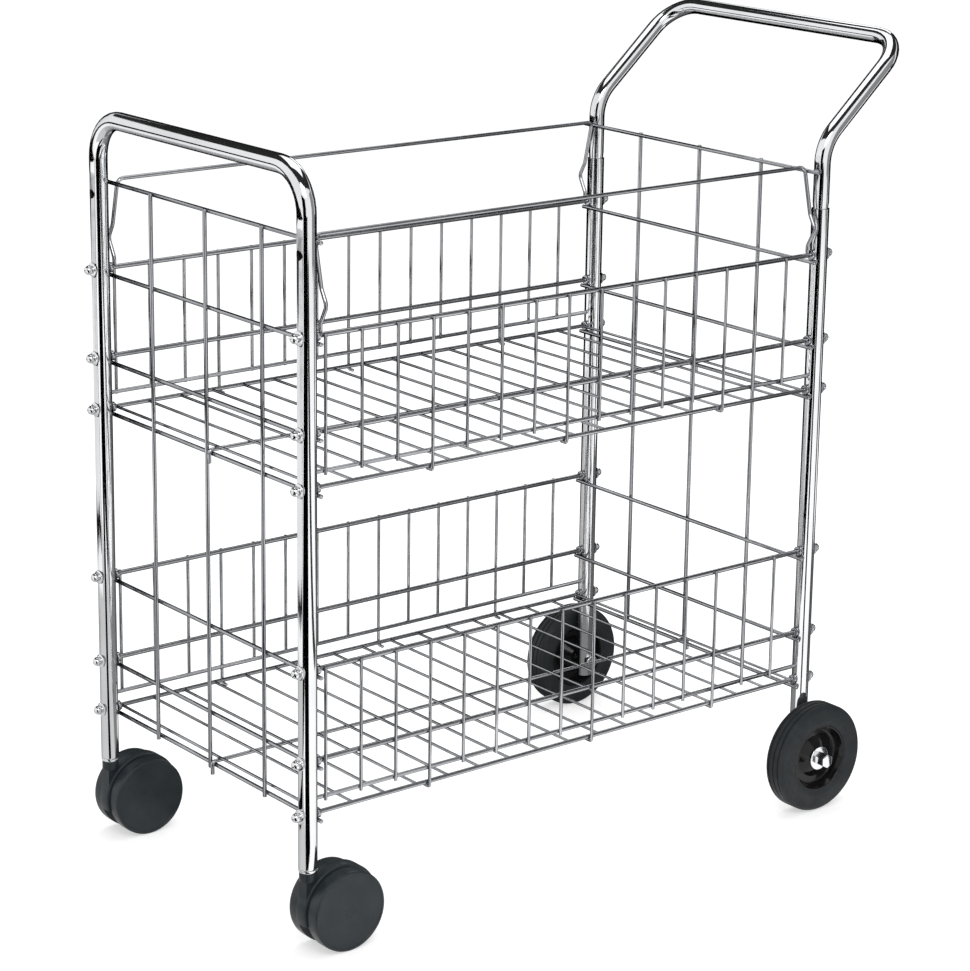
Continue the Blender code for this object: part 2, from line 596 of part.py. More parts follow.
def build_caster(side, sign):
    """One swivelling twin-wheel caster with its socket in the front leg's foot."""
    y = sign * HALF_SPREAD
    stem_foot = Vector((FRONT_X, y, 0.0))
    swivel = bpy.data.objects.new("swivel_" + side, None)
    swivel.location = stem_foot
    PARTS.objects.link(swivel)
    axle_place = Vector((CASTER_TRAIL, 0.0, CASTER_RADIUS))

    bore_radius = STEM_DIAMETER / 2 + SOCKET_BORE_PLAY
    flange_foot = NECK_TOP + GAP
    flange_top = FRONT_LEG_FOOT - GAP
    plug_radius = TUBE_RADIUS - TUBE_WALL - GAP
    socket_profile = [(plug_radius, FRONT_LEG_FOOT + SOCKET_DEPTH), (plug_radius, flange_top),
                      (TUBE_RADIUS, flange_top), (TUBE_RADIUS, flange_foot),
                      (bore_radius, flange_foot), (bore_radius, FRONT_LEG_FOOT + SOCKET_DEPTH)]
    turn = Matrix.Rotation(FACET_TURN, 4, "Z")
    socket = turned("socket", socket_profile, TUBE_SIDES, Matrix.Translation(stem_foot) @ turn)
    add_part(socket, "caster_socket_" + side, CHROME)

    body = outline_plate("hood", hood_outline(), HOOD_HALF_WIDTH, axle_place)
    wheel_corner = facet_radius(CASTER_RADIUS, CASTER_SIDES) + GAP
    neck_foot = CASTER_RADIUS + math.sqrt(wheel_corner ** 2 - (CASTER_TRAIL - NECK_DIAMETER / 2) ** 2)
    neck = rod("neck_" + side, (0.0, 0.0, neck_foot), (0.0, 0.0, NECK_TOP), NECK_DIAMETER, 12)
    stem_start = (0.0, 0.0, NECK_TOP - NECK_SINK)
    stem_end = (0.0, 0.0, NECK_TOP + STEM_HEIGHT)
    stem = rod("stem_" + side, stem_start, stem_end, STEM_DIAMETER, 12)
    combine(body, "UNION", [neck, stem])
    hole_end = Vector((0.0, HOOD_HALF_WIDTH + OVERRUN, 0.0))
    hole_width = CASTER_AXLE_DIAMETER + 2 * CASTER_BORE_PLAY
    hole = rod("axle_hole_" + side, axle_place - hole_end, axle_place + hole_end, hole_width, 8)
    combine(body, "DIFFERENCE", [hole])
    for tool in (neck, stem, hole):
        tool.parent = swivel
    add_part(body, "caster_body_" + side, PLASTIC, swivel)

    axle_half = Vector((0.0, CASTER_AXLE_HALF, 0.0))
    axle = rod("axle", axle_place - axle_half, axle_place + axle_half, CASTER_AXLE_DIAMETER, 8)
    add_part(axle, "caster_axle_" + side, STEEL, swivel)

    bore = CASTER_AXLE_DIAMETER / 2 + CASTER_BORE_PLAY
    rim = facet_radius(CASTER_RADIUS, CASTER_SIDES)
    outer, inner = CASTER_WHEEL_OUTER, CASTER_WHEEL_INNER
    wheel_profile = [(0.0, outer), (CASTER_FACE_RADIUS, outer),
                     (CASTER_SHOULDER_RADIUS, outer - CASTER_SHOULDER_DEPTH),
                     (rim, outer - CASTER_TREAD_DEPTH), (rim, inner + CASTER_BACK_BEVEL),
                     (rim - CASTER_BACK_BEVEL, inner), (bore, inner),
                     (bore, CASTER_AXLE_HALF + GAP), (0.0, CASTER_AXLE_HALF + GAP)]
    for letter, outward in (("a", -1), ("b", 1)):
        wheel = turned("wheel", wheel_profile, CASTER_SIDES, along_y(axle_place, outward))
        add_part(wheel, f"caster_wheel_{side}_{letter}", PLASTIC, swivel)


def tyre_profile(inner, outer):
    """The tyre's section from its outer face to its inner face, with the tread's grooves."""
    corner = facet_radius(TYRE_RADIUS, TYRE_SIDES)
    bore = facet_radius(TYRE_BORE_RADIUS, TYRE_SIDES)
    lip_outer, lip_inner = outer - TYRE_WALL_BULGE, inner + TYRE_WALL_BULGE
    points = [(bore, lip_outer), (TYRE_WALL_RADIUS, outer), (corner - TYRE_SHOULDER, outer),
              (corner, outer - TYRE_SHOULDER)]
    pitch = (outer - inner) / (TYRE_GROOVE_COUNT + 1)
    for index in range(1, TYRE_GROOVE_COUNT + 1):
        middle = outer - index * pitch
        points += [(corner, middle + TYRE_GROOVE_WIDTH / 2), (corner - TYRE_GROOVE_DEPTH, middle),
                   (corner, middle - TYRE_GROOVE_WIDTH / 2)]
    return points + [(corner, inner + TYRE_SHOULDER), (corner - TYRE_SHOULDER, inner),
                     (TYRE_WALL_RADIUS, inner), (bore, lip_inner)]


def rim_profile(inner, outer):
    """The dished steel rim's section with its hub, from the outer lip round to the inner side."""
    seat = facet_radius(TYRE_BORE_RADIUS, TYRE_SIDES) - GAP
    lip_outer, lip_inner = outer - TYRE_WALL_BULGE, inner + TYRE_WALL_BULGE
    bore = AXLE_DIAMETER / 2 + AXLE_PLAY
    plate = lip_outer - RIM_DISH_DEPTH
    hub_end = outer - WASHER_THICKNESS - HUB_RECESS - TYRE_WALL_BULGE
    return [(bore, hub_end), (HUB_RADIUS, hub_end), (HUB_FOOT_RADIUS, plate),
            (RIM_DISH_RADIUS, plate), (seat - RIM_LIP, lip_outer), (seat, lip_outer),
            (seat, lip_inner), (seat - RIM_LIP, lip_inner), (RIM_DISH_RADIUS, plate - RIM_PLATE),
            (HUB_FOOT_RADIUS, plate - RIM_PLATE), (HUB_RADIUS, inner), (bore, inner)]


def build_rear_wheel(side, sign):
    """One fixed rear wheel with its axle bolt, washer and nut."""
    place = Vector((REAR_X, sign * HALF_SPREAD, TYRE_RADIUS))
    lay = along_y(place, sign)
    inner = TUBE_RADIUS + TYRE_LEG_GAP
    outer = inner + TYRE_WIDTH
    tyre = turned("tyre", tyre_profile(inner, outer), TYRE_SIDES, lay)
    add_part(tyre, "tyre_" + side, RUBBER)
    rim = turned("rim", rim_profile(inner, outer), TYRE_SIDES, lay)
    add_part(rim, "rim_" + side, GLOSS_BLACK)

    washer_foot = rim_profile(inner, outer)[0][1] + GAP
    washer_top = washer_foot + WASHER_THICKNESS
    hole = AXLE_DIAMETER / 2 + GAP
    washer_profile = [(hole, washer_top), (WASHER_DIAMETER / 2, washer_top),
                      (WASHER_DIAMETER / 2, washer_foot), (hole, washer_foot)]
    washer = turned("washer", washer_profile, AXLE_SIDES, lay)
    add_part(washer, "axle_washer_" + side, CHROME)

    nut_foot = washer_top + GAP
    nut_top = nut_foot + AXLE_NUT_THICKNESS
    nut_hole = hole / math.cos(HEX_TURN)
    nut_profile = [(nut_hole, nut_top), (AXLE_NUT_DIAMETER / 2, nut_top),
                   (AXLE_NUT_DIAMETER / 2, nut_foot), (nut_hole, nut_foot)]
    nut = turned("nut", nut_profile, 6, lay)
    add_part(nut, "axle_nut_" + side, CHROME)

    bolt_end = nut_top + AXLE_END
    bolt_radius = AXLE_DIAMETER / 2
    bolt_profile = [(0.0, bolt_end), (bolt_radius, bolt_end), (bolt_radius, -SEAT),
                    (AXLE_HEAD_DIAMETER / 2, -SEAT),
                    (AXLE_HEAD_DIAMETER / 2, -SEAT - AXLE_HEAD_THICKNESS),
                    (0.0, -SEAT - AXLE_HEAD_THICKNESS)]
    bolt = turned("bolt", bolt_profile, AXLE_SIDES, lay)
    add_part(bolt, "axle_bolt_" + side, CHROME)


def build_cart():
    """Builds every part of the cart."""
    build_front_frame()
    build_rear_legs()
    build_handle()
    build_end_panels()
    for side, sign in SIDES.items():
        build_side_panel("upper", side, sign, UPPER_LEVELS, UPPER_HOOKED_STAVES)
        build_side_panel("lower", side, sign, LOWER_LEVELS, LOWER_HOOKED_STAVES)
    build_floor("upper_floor", UPPER_LEVELS[2])
    build_floor("lower_floor", LOWER_LEVELS[2])
    build_file_rails()
    build_screws()
    for side, sign in SIDES.items():
        build_caster(side, sign)
        build_rear_wheel(side, sign)


build_cart()
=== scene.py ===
"""Looks of a wire mail cart: bright round tubes and wires, dark wheels, soft studio light and camera.

Lengths are in metres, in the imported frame: +X runs from the casters to the push handle, +Y to the far
side and +Z up. Every piece is shaped with edit-mode operators and stands for a node of the frame.
"""

import logging
import math
from collections.abc import Callable, Sequence
from dataclasses import dataclass, replace
from enum import Enum

import bmesh
import bpy
from mathutils import Euler, Matrix, Vector


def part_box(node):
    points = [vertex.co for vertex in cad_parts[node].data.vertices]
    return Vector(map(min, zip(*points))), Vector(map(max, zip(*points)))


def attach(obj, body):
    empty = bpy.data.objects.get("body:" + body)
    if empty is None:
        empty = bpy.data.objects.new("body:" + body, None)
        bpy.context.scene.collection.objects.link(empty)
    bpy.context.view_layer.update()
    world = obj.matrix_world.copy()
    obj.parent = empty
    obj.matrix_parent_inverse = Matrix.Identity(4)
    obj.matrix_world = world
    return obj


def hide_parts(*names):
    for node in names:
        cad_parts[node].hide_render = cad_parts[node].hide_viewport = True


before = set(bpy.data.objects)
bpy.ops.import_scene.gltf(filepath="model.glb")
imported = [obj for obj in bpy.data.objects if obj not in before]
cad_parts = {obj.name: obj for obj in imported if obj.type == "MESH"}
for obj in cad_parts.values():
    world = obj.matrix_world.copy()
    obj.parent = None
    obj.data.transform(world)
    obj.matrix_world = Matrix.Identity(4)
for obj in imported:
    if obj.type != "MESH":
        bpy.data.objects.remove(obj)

LOG = logging.getLogger("mail_cart")
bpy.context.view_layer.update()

Profile = Sequence[tuple[float, float]]
Place = tuple[float, float, float]
Thing = bpy.types.Object
Socket = bpy.types.NodeSocket
Source = float | tuple[float, ...] | Socket

X_AXIS = Vector((1.0, 0.0, 0.0))
Y_AXIS = Vector((0.0, 1.0, 0.0))
Z_AXIS = Vector((0.0, 0.0, 1.0))
WHITE = (1.0, 1.0, 1.0, 1.0)
BLACK = (0.0, 0.0, 0.0, 1.0)
MERGE_REACH = 0.00001
RING_REACH = 0.00002
SMOOTH_ANGLE = math.radians(38)
PATTERN_MIDDLE = (0.3, 0.7)
LEVELS_PER_BASKET = 3


class Worded(Enum):
    """A choice whose name stands in node names."""

    @property
    def word(self) -> str:
        """The name as node names have it."""
        return self.name.lower()


class Side(Worded):
    """The two sides of the cart, by the sign of their Y."""

    NEAR = -1
    FAR = 1


class End(Worded):
    """The two ends of the cart, by the sign of the X that points out of the basket."""

    FRONT = -1
    REAR = 1


def shift(x: float = 0.0, y: float = 0.0, z: float = 0.0) -> Matrix:
    """The matrix of a plain move."""
    return Matrix.Translation((x, y, z))


def lay_along(direction: Vector, place: Sequence[float]) -> Matrix:
    """The matrix that lays a turned shape's axis along a direction, with its foot at a place."""
    return Matrix.Translation(place) @ direction.to_track_quat("Z", "Y").to_matrix().to_4x4()


class Workpiece:
    """One mesh on the bench, shaped with edit-mode operators about the world's axes."""

    def __init__(self, thing: Thing) -> None:
        """Takes an object in hand."""
        self.thing = thing

    @staticmethod
    def take(*things: Thing) -> None:
        """Selects only these objects, with the first one active."""
        bpy.ops.object.select_all(action="DESELECT")
        for thing in things:
            thing.select_set(True)
        bpy.context.view_layer.objects.active = things[0]

    @staticmethod
    def open_up() -> None:
        """Goes into edit mode with everything selected."""
        bpy.ops.object.mode_set(mode="EDIT")
        bpy.ops.mesh.select_all(action="SELECT")

    @classmethod
    def disc(cls, name: str, place: Vector, facing: Vector, radius: float, sides: int,
             filled: bool = True) -> "Workpiece":
        """Starts from a flat disc or ring, left selected in edit mode.

        Args:
            name: The piece's name.
            place: The disc's centre.
            facing: The direction that the first extrusion will take.
            radius: The disc's radius.
            sides: How many corners the disc has.
            filled: False for an open ring.

        Returns:
            The workpiece, in edit mode.
        """
        bpy.ops.object.select_all(action="DESELECT")
        turn_to = facing.to_track_quat("Z", "Y").to_euler()
        bpy.ops.mesh.primitive_circle_add(vertices=sides, radius=radius, location=place, rotation=turn_to,
                                          fill_type="NGON" if filled else "NOTHING")
        thing = bpy.context.object
        thing.name = name
        bpy.ops.object.transform_apply()
        cls.open_up()
        return cls(thing)

    def push(self, move: Vector) -> None:
        """Extrudes what is selected by a move."""
        bpy.ops.mesh.extrude_region_move(TRANSFORM_OT_translate={"value": tuple(move)})

    def resize(self, share: float, centre: Vector) -> None:
        """Scales what is selected about a centre."""
        if share != 1.0:
            bpy.ops.transform.resize(value=(share, share, share), center_override=tuple(centre))

    def sink(self, share: float, mouth: Vector, depth: float) -> None:
        """Sinks a hole along Z into the selected end. The share is its width over the end's."""
        self.push(Vector())
        self.resize(share, mouth)
        self.push(Z_AXIS * depth)

    def follow(self, corners: Sequence[Vector], radii: Sequence[float], steps: int) -> None:
        """Carries the selected end along straight runs with round bends at the inner corners.

        Args:
            corners: The corner points of the route, the first one being where the end is now.
            radii: The bend radius at each inner corner.
            steps: How many steps each bend takes.
        """
        place = corners[0]
        for before, corner, after, radius in zip(corners, corners[1:], corners[2:], radii):
            back = (before - corner).normalized()
            ahead = (after - corner).normalized()
            turn_by = math.pi - back.angle(ahead)
            reach = radius * math.tan(turn_by / 2)
            self.push(corner + back * reach - place)
            centre = corner + (back + ahead).normalized() * radius / math.cos(turn_by / 2)
            # The spin operator turns against the right-hand rule.
            bpy.ops.mesh.spin(steps=steps, angle=turn_by, center=tuple(centre),
                              axis=tuple(-ahead.cross(back)))
            place = corner + ahead * reach
        self.push(corners[-1] - place)

    def pick(self, kind: str, test: Callable[[Vector], bool]) -> None:
        """Selects only the faces (kind FACE) whose middle passes a test, or edges whose two ends do."""
        bpy.ops.mesh.select_mode(type=kind)
        bpy.ops.mesh.select_all(action="DESELECT")
        mesh = bmesh.from_edit_mesh(self.thing.data)
        if kind == "FACE":
            marks = [(face, [face.calc_center_median()]) for face in mesh.faces]
        else:
            marks = [(edge, [corner.co for corner in edge.verts]) for edge in mesh.edges]
        for part, points in marks:
            if all(test(point) for point in points):
                part.select_set(True)
        bmesh.update_edit_mesh(self.thing.data)

    def pick_ring(self, radius: float, height: float) -> None:
        """Selects only the edges that run round Z at a radius and a height."""
        self.pick("EDGE", lambda point: abs(math.hypot(point.x, point.y) - radius) < RING_REACH
                  and abs(point.z - height) < RING_REACH)

    def bevel(self, width: float, segments: int = 2) -> None:
        """Rounds the selected edges."""
        bpy.ops.mesh.bevel(offset=width, segments=segments, clamp_overlap=True)

    def mend(self) -> None:
        """Merges doubles and turns every face outwards."""
        bpy.ops.mesh.select_all(action="SELECT")
        bpy.ops.mesh.remove_doubles(threshold=MERGE_REACH)
        bpy.ops.mesh.normals_make_consistent()

    def off_bench(self, matrix: Matrix | None = None) -> Thing:
        """Leaves edit mode, puts the place into the mesh and shades round faces smooth.

        Args:
            matrix: Where the shape goes, or None where it is already in place.

        Returns:
            The finished object, at the origin, unturned and unscaled.
        """
        if bpy.context.mode != "OBJECT":
            self.mend()
            bpy.ops.object.mode_set(mode="OBJECT")
        self.take(self.thing)
        if matrix is not None:
            self.thing.matrix_world = matrix
        bpy.ops.object.transform_apply()
        bpy.ops.object.shade_smooth_by_angle(angle=SMOOTH_ANGLE)
        return self.thing


def turn(name: str, profile: Profile, sides: int, lay: Matrix | None = None,
         rounds: Sequence[tuple[Sequence[int], float, int]] = (), closed: bool = False) -> Thing:
    """Turns a profile about Z by walking a disc or ring from one of its points to the next.

    Args:
        name: The piece's name.
        profile: (radius, height) points, from the lowest face round to the last.
        sides: How many corners the turned shape has.
        lay: Where the shape goes, or None to leave it about Z.
        rounds: For each rounding the numbers of its profile points, its width and its segments.
        closed: True for a ring-shaped body whose profile comes back to its first point.

    Returns:
        The finished object.
    """
    radius, height = profile[0]
    piece = Workpiece.disc(name, Z_AXIS * height, Z_AXIS, radius, sides, not closed)
    for next_radius, next_height in (*profile[1:], *(profile[:1] if closed else ())):
        piece.push(Z_AXIS * (next_height - height))
        piece.resize(next_radius / radius, Z_AXIS * next_height)
        radius, height = next_radius, next_height
    piece.mend()
    for numbers, width, segments in rounds:
        for number in numbers:
            piece.pick_ring(*profile[number])
            piece.bevel(width, segments)
    return piece.off_bench(lay)


def copied(source: Thing, name: str, move: Matrix) -> Thing:
    """A copy with its own mesh, moved in its mesh."""
    twin = source.copy()
    twin.data = source.data.copy()
    twin.name = name
    bpy.context.collection.objects.link(twin)
    twin.data.transform(move)
    return twin


def mirrored(source: Thing, name: str, axis: Vector, place: float = 0.0) -> Thing:
    """A mirrored copy across the plane that stands square to an axis at a place along it."""
    twin = copied(source, name, Matrix.Translation(axis * 2 * place) @ Matrix.Scale(-1.0, 4, axis))
    Workpiece.take(twin)
    Workpiece.open_up()
    bpy.ops.mesh.normals_make_consistent()
    bpy.ops.object.mode_set(mode="OBJECT")
    return twin


def joined(*things: Thing) -> Thing:
    """Joins several objects into the first one, which keeps its name."""
    Workpiece.take(*things)
    bpy.ops.object.join()
    return things[0]


def boolean(body: Thing, tool: Thing, operation: str = "UNION") -> None:
    """Cuts a tool from a body or fuses it on, and removes the tool."""
    step = body.modifiers.new("boolean", "BOOLEAN")
    step.operation = operation
    step.object = tool
    step.solver = "EXACT"
    Workpiece.take(body)
    bpy.ops.object.modifier_apply(modifier=step.name)
    bpy.data.objects.remove(tool)


class Nodes:
    """A node tree, written step by step."""

    def __init__(self, tree: bpy.types.NodeTree) -> None:
        """Takes a tree in hand."""
        self.tree = tree

    def give(self, socket: Socket, source: Source) -> None:
        """Links a socket to another node's, or sets its value."""
        if isinstance(source, Socket):
            self.tree.links.new(source, socket)
        else:
            socket.default_value = source

    def feed(self, node: bpy.types.Node, **inputs: Source) -> None:
        """Gives the named inputs of a node their values or links."""
        for name, source in inputs.items():
            self.give(node.inputs[name.replace("_", " ").title().replace("Ior", "IOR")], source)

    def add(self, kind: str, **inputs: Source) -> bpy.types.Node:
        """Adds a node with its named inputs."""
        node = self.tree.nodes.new(kind)
        self.feed(node, **inputs)
        return node

    def combine(self, operation: str, first: Socket, second: float | Socket) -> Socket:
        """Works out one value from two."""
        node = self.add("ShaderNodeMath")
        node.operation = operation
        self.give(node.inputs[0], first)
        self.give(node.inputs[1], second)
        return node.outputs[0]

    def seen(self) -> Socket:
        """One where the camera looks, straight or by way of a mirror or glass, and nought elsewhere."""
        path = self.add("ShaderNodeLightPath").outputs
        either = self.combine("MAXIMUM", path["Is Camera Ray"], path["Is Glossy Ray"])
        return self.combine("MAXIMUM", either, path["Is Transmission Ray"])


@dataclass(frozen=True)
class Noise:
    """A noise pattern: how fine it is, how many layers it has and its stretch along the axes."""

    scale: float
    detail: float = 3.0
    stretch: Place = (1.0, 1.0, 1.0)


class Recipe(Nodes):
    """A material's node tree around its Principled shader."""

    def __init__(self, name: str) -> None:
        """Starts a material with a bare shader and the piece's own coordinates."""
        self.material = bpy.data.materials.new(name)
        self.material.use_nodes = True
        super().__init__(self.material.node_tree)
        self.shader = self.tree.nodes["Principled BSDF"]
        self.place = self.add("ShaderNodeTexCoord").outputs["Object"]

    def noise(self, noise: Noise) -> Socket:
        """A noise pattern on the piece's own coordinates."""
        mapping = self.add("ShaderNodeMapping", vector=self.place, scale=noise.stretch)
        return self.add("ShaderNodeTexNoise", vector=mapping.outputs["Vector"], scale=noise.scale,
                        detail=noise.detail).outputs["Fac"]

    def spread(self, source: Socket, low: float, high: float) -> Socket:
        """Maps the middle of a pattern to a range of values."""
        return self.add("ShaderNodeMapRange", value=source, from_min=PATTERN_MIDDLE[0],
                        from_max=PATTERN_MIDDLE[1], to_min=low, to_max=high).outputs["Result"]

    def blend(self, source: Socket, *colours: Place) -> Socket:
        """Blends two colours by the middle of a pattern."""
        node = self.add("ShaderNodeValToRGB", fac=source)
        for element, position, colour in zip(node.color_ramp.elements, PATTERN_MIDDLE, colours):
            element.position = position
            element.color = (*colour, 1.0)
        return node.outputs["Color"]


@dataclass(frozen=True)
class Finish:
    """A finish whose colour, roughness and relief each follow a noise pattern of their own.

    The relief is in metres. The slot is the record's but is not used, and is empty where no piece carries the
    finish first.
    """

    name: str
    slot: str
    dark: Place
    light: Place
    smooth: float
    rough: float
    clouds: Noise
    wear: Noise
    grain: Noise
    relief: float
    strength: float
    metallic: float = 0.0
    sheen: float = 0.5
    # Below 1 the edge tint paints shade: it darkens metal reflections towards the silhouettes into dark
    # outlines.
    edge_tint: float = 1.0

    def mix(self) -> bpy.types.Material:
        """Makes the finish's material."""
        recipe = Recipe(self.name)
        relief = recipe.add("ShaderNodeBump", strength=self.strength, distance=self.relief,
                            height=recipe.noise(self.grain))
        recipe.feed(recipe.shader, metallic=self.metallic, specular_ior_level=self.sheen,
                    specular_tint=(self.edge_tint, self.edge_tint, self.edge_tint, 1.0),
                    base_color=recipe.blend(recipe.noise(self.clouds), self.dark, self.light),
                    roughness=recipe.spread(recipe.noise(self.wear), self.smooth, self.rough),
                    normal=relief.outputs["Normal"])
        return recipe.material


# Bright plating on steel: clear reflections with faint clouds and polishing marks.
FASTENER = Finish("bright_fastener", "screw_chrome", dark=(0.74, 0.75, 0.77), light=(0.86, 0.87, 0.88),
                  smooth=0.10, rough=0.20, clouds=Noise(14.0), wear=Noise(70.0, 4.0),
                  grain=Noise(260.0, 2.0, (1.0, 1.0, 0.25)), relief=0.00003, strength=0.25,
                  metallic=1.0)
# The tubes' edge tint of one half paints some shade round their outlines.
TUBE = replace(FASTENER, name="bright_tube", slot="tube_chrome", smooth=0.05, rough=0.11, relief=0.000008,
               edge_tint=0.5)
# The wires' plating is darker than the tubes': partly a duller plating, partly painted shade for the dark
# cart and shadowed floor they mirror; their edge tint of nought paints black outlines.
WIRE = replace(FASTENER, name="bright_wire", slot="wire_chrome", dark=(0.36, 0.37, 0.39),
               light=(0.54, 0.55, 0.57), smooth=0.05, rough=0.10, edge_tint=0.0)
STEEL = replace(FASTENER, name="turned_steel", slot="", dark=(0.50, 0.50, 0.51), light=(0.62, 0.62, 0.63),
                smooth=0.22, rough=0.34)
# Dark moulded plastic with a fine even grain, and painted shade: a near-black colour inside the drilled
# holes.
PLASTIC = Finish("dark_plastic", "caster_plastic", dark=(0.019, 0.026, 0.030), light=(0.029, 0.038, 0.043),
                 smooth=0.29, rough=0.38, clouds=Noise(35.0, 5.0), wear=Noise(90.0),
                 grain=Noise(2600.0, 2.0), relief=0.00006, strength=0.30, sheen=0.30)
HOLE_SHADE = replace(PLASTIC, name="dark_hollow", slot="", dark=(0.006, 0.006, 0.006),
                 light=(0.012, 0.012, 0.012), smooth=0.6, rough=0.8)
# Dark grey rubber with a dusty bloom and a soft grain.
RUBBER = Finish("wheel_rubber", "tyre_rubber", dark=(0.017, 0.021, 0.024), light=(0.029, 0.034, 0.038),
                smooth=0.50, rough=0.66, clouds=Noise(45.0, 6.0), wear=Noise(120.0), grain=Noise(1500.0),
                relief=0.00012, strength=0.35, sheen=0.30)
# Deep gloss paint with a faint orange-peel skin.
PAINT = Finish("gloss_rim", "rim_paint", dark=(0.006, 0.006, 0.007), light=(0.012, 0.012, 0.013),
               smooth=0.06, rough=0.12, clouds=Noise(60.0), wear=Noise(110.0), grain=Noise(180.0, 2.0),
               relief=0.0002, strength=0.15, sheen=0.28)
MATERIALS = {finish: finish.mix() for finish in (TUBE, WIRE, FASTENER, STEEL, PLASTIC, HOLE_SHADE, RUBBER, PAINT)}


def dress(thing: Thing, finish: Finish, node: str, body: str = "frame") -> None:
    """Dresses a piece, lets it ride on its body and reports it.

    Args:
        thing: The finished object; a second finish that it already carries on some faces stays.
        finish: What it is dressed in.
        node: The frame's node that it stands for.
        body: The body that it moves with.
    """
    if thing.data.materials:
        thing.data.materials[0] = MATERIALS[finish]
    else:
        thing.data.materials.append(MATERIALS[finish])
    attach(thing, body)
    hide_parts(node)
    LOG.info("%s rides on %s for %s", thing.name, body, node)


def dress_pair(near: Thing, finish: Finish, node: str, body: str = "frame") -> None:
    """Dresses a near piece and its mirrored twin on the far side.

    Args:
        near: The near piece, with the word near in its name.
        finish: What both are dressed in.
        node: The nodes' name without its side.
        body: The bodies' name without its side, or the frame that carries both.
    """
    for side, thing in zip(Side, (near, mirrored(near, near.name.replace("near", "far"), Y_AXIS))):
        carrier = body if body == "frame" else f"{body}_{side.word}"
        dress(thing, finish, f"{node}_{side.word}", carrier)


def node_centre(node: str) -> Vector:
    """The middle of a node's box."""
    low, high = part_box(node)
    return (low + high) / 2


class Plan:
    """The cart's shared lines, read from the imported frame."""

    def __init__(self) -> None:
        """Reads the axes of the legs and wheels and the levels of the screws.

        Each basket's levels are those of its rim, its middle wire and its floor.
        """
        socket = node_centre("caster_socket_near")
        self.front_x = socket.x
        self.rear_x = node_centre("rear_leg_near").x
        self.middle_x = (self.front_x + self.rear_x) / 2
        self.wheelbase = self.rear_x - self.front_x
        self.half_spread = abs(socket.y)
        numbers = range(1, 2 * LEVELS_PER_BASKET + 1)
        self.levels = [node_centre(f"screw_front_near_{number}").z for number in numbers]
        self.upper, self.lower = self.levels[:LEVELS_PER_BASKET], self.levels[LEVELS_PER_BASKET:]
        self.caster_axle = node_centre("caster_axle_near")
        self.wheel_axle_height = node_centre("axle_bolt_near").z


@dataclass(frozen=True)
class Fit:
    """How pieces meet: wires and screws at the legs, wires in a weld, and the gap of what only touches."""

    leg_flat: float = 0.01102
    nut_radius: float = 0.0062
    nut_thickness: float = 0.0044
    nut_round: float = 0.0006
    weld: float = 0.0004
    gap: float = 0.0003


PLAN = Plan()
FIT = Fit()


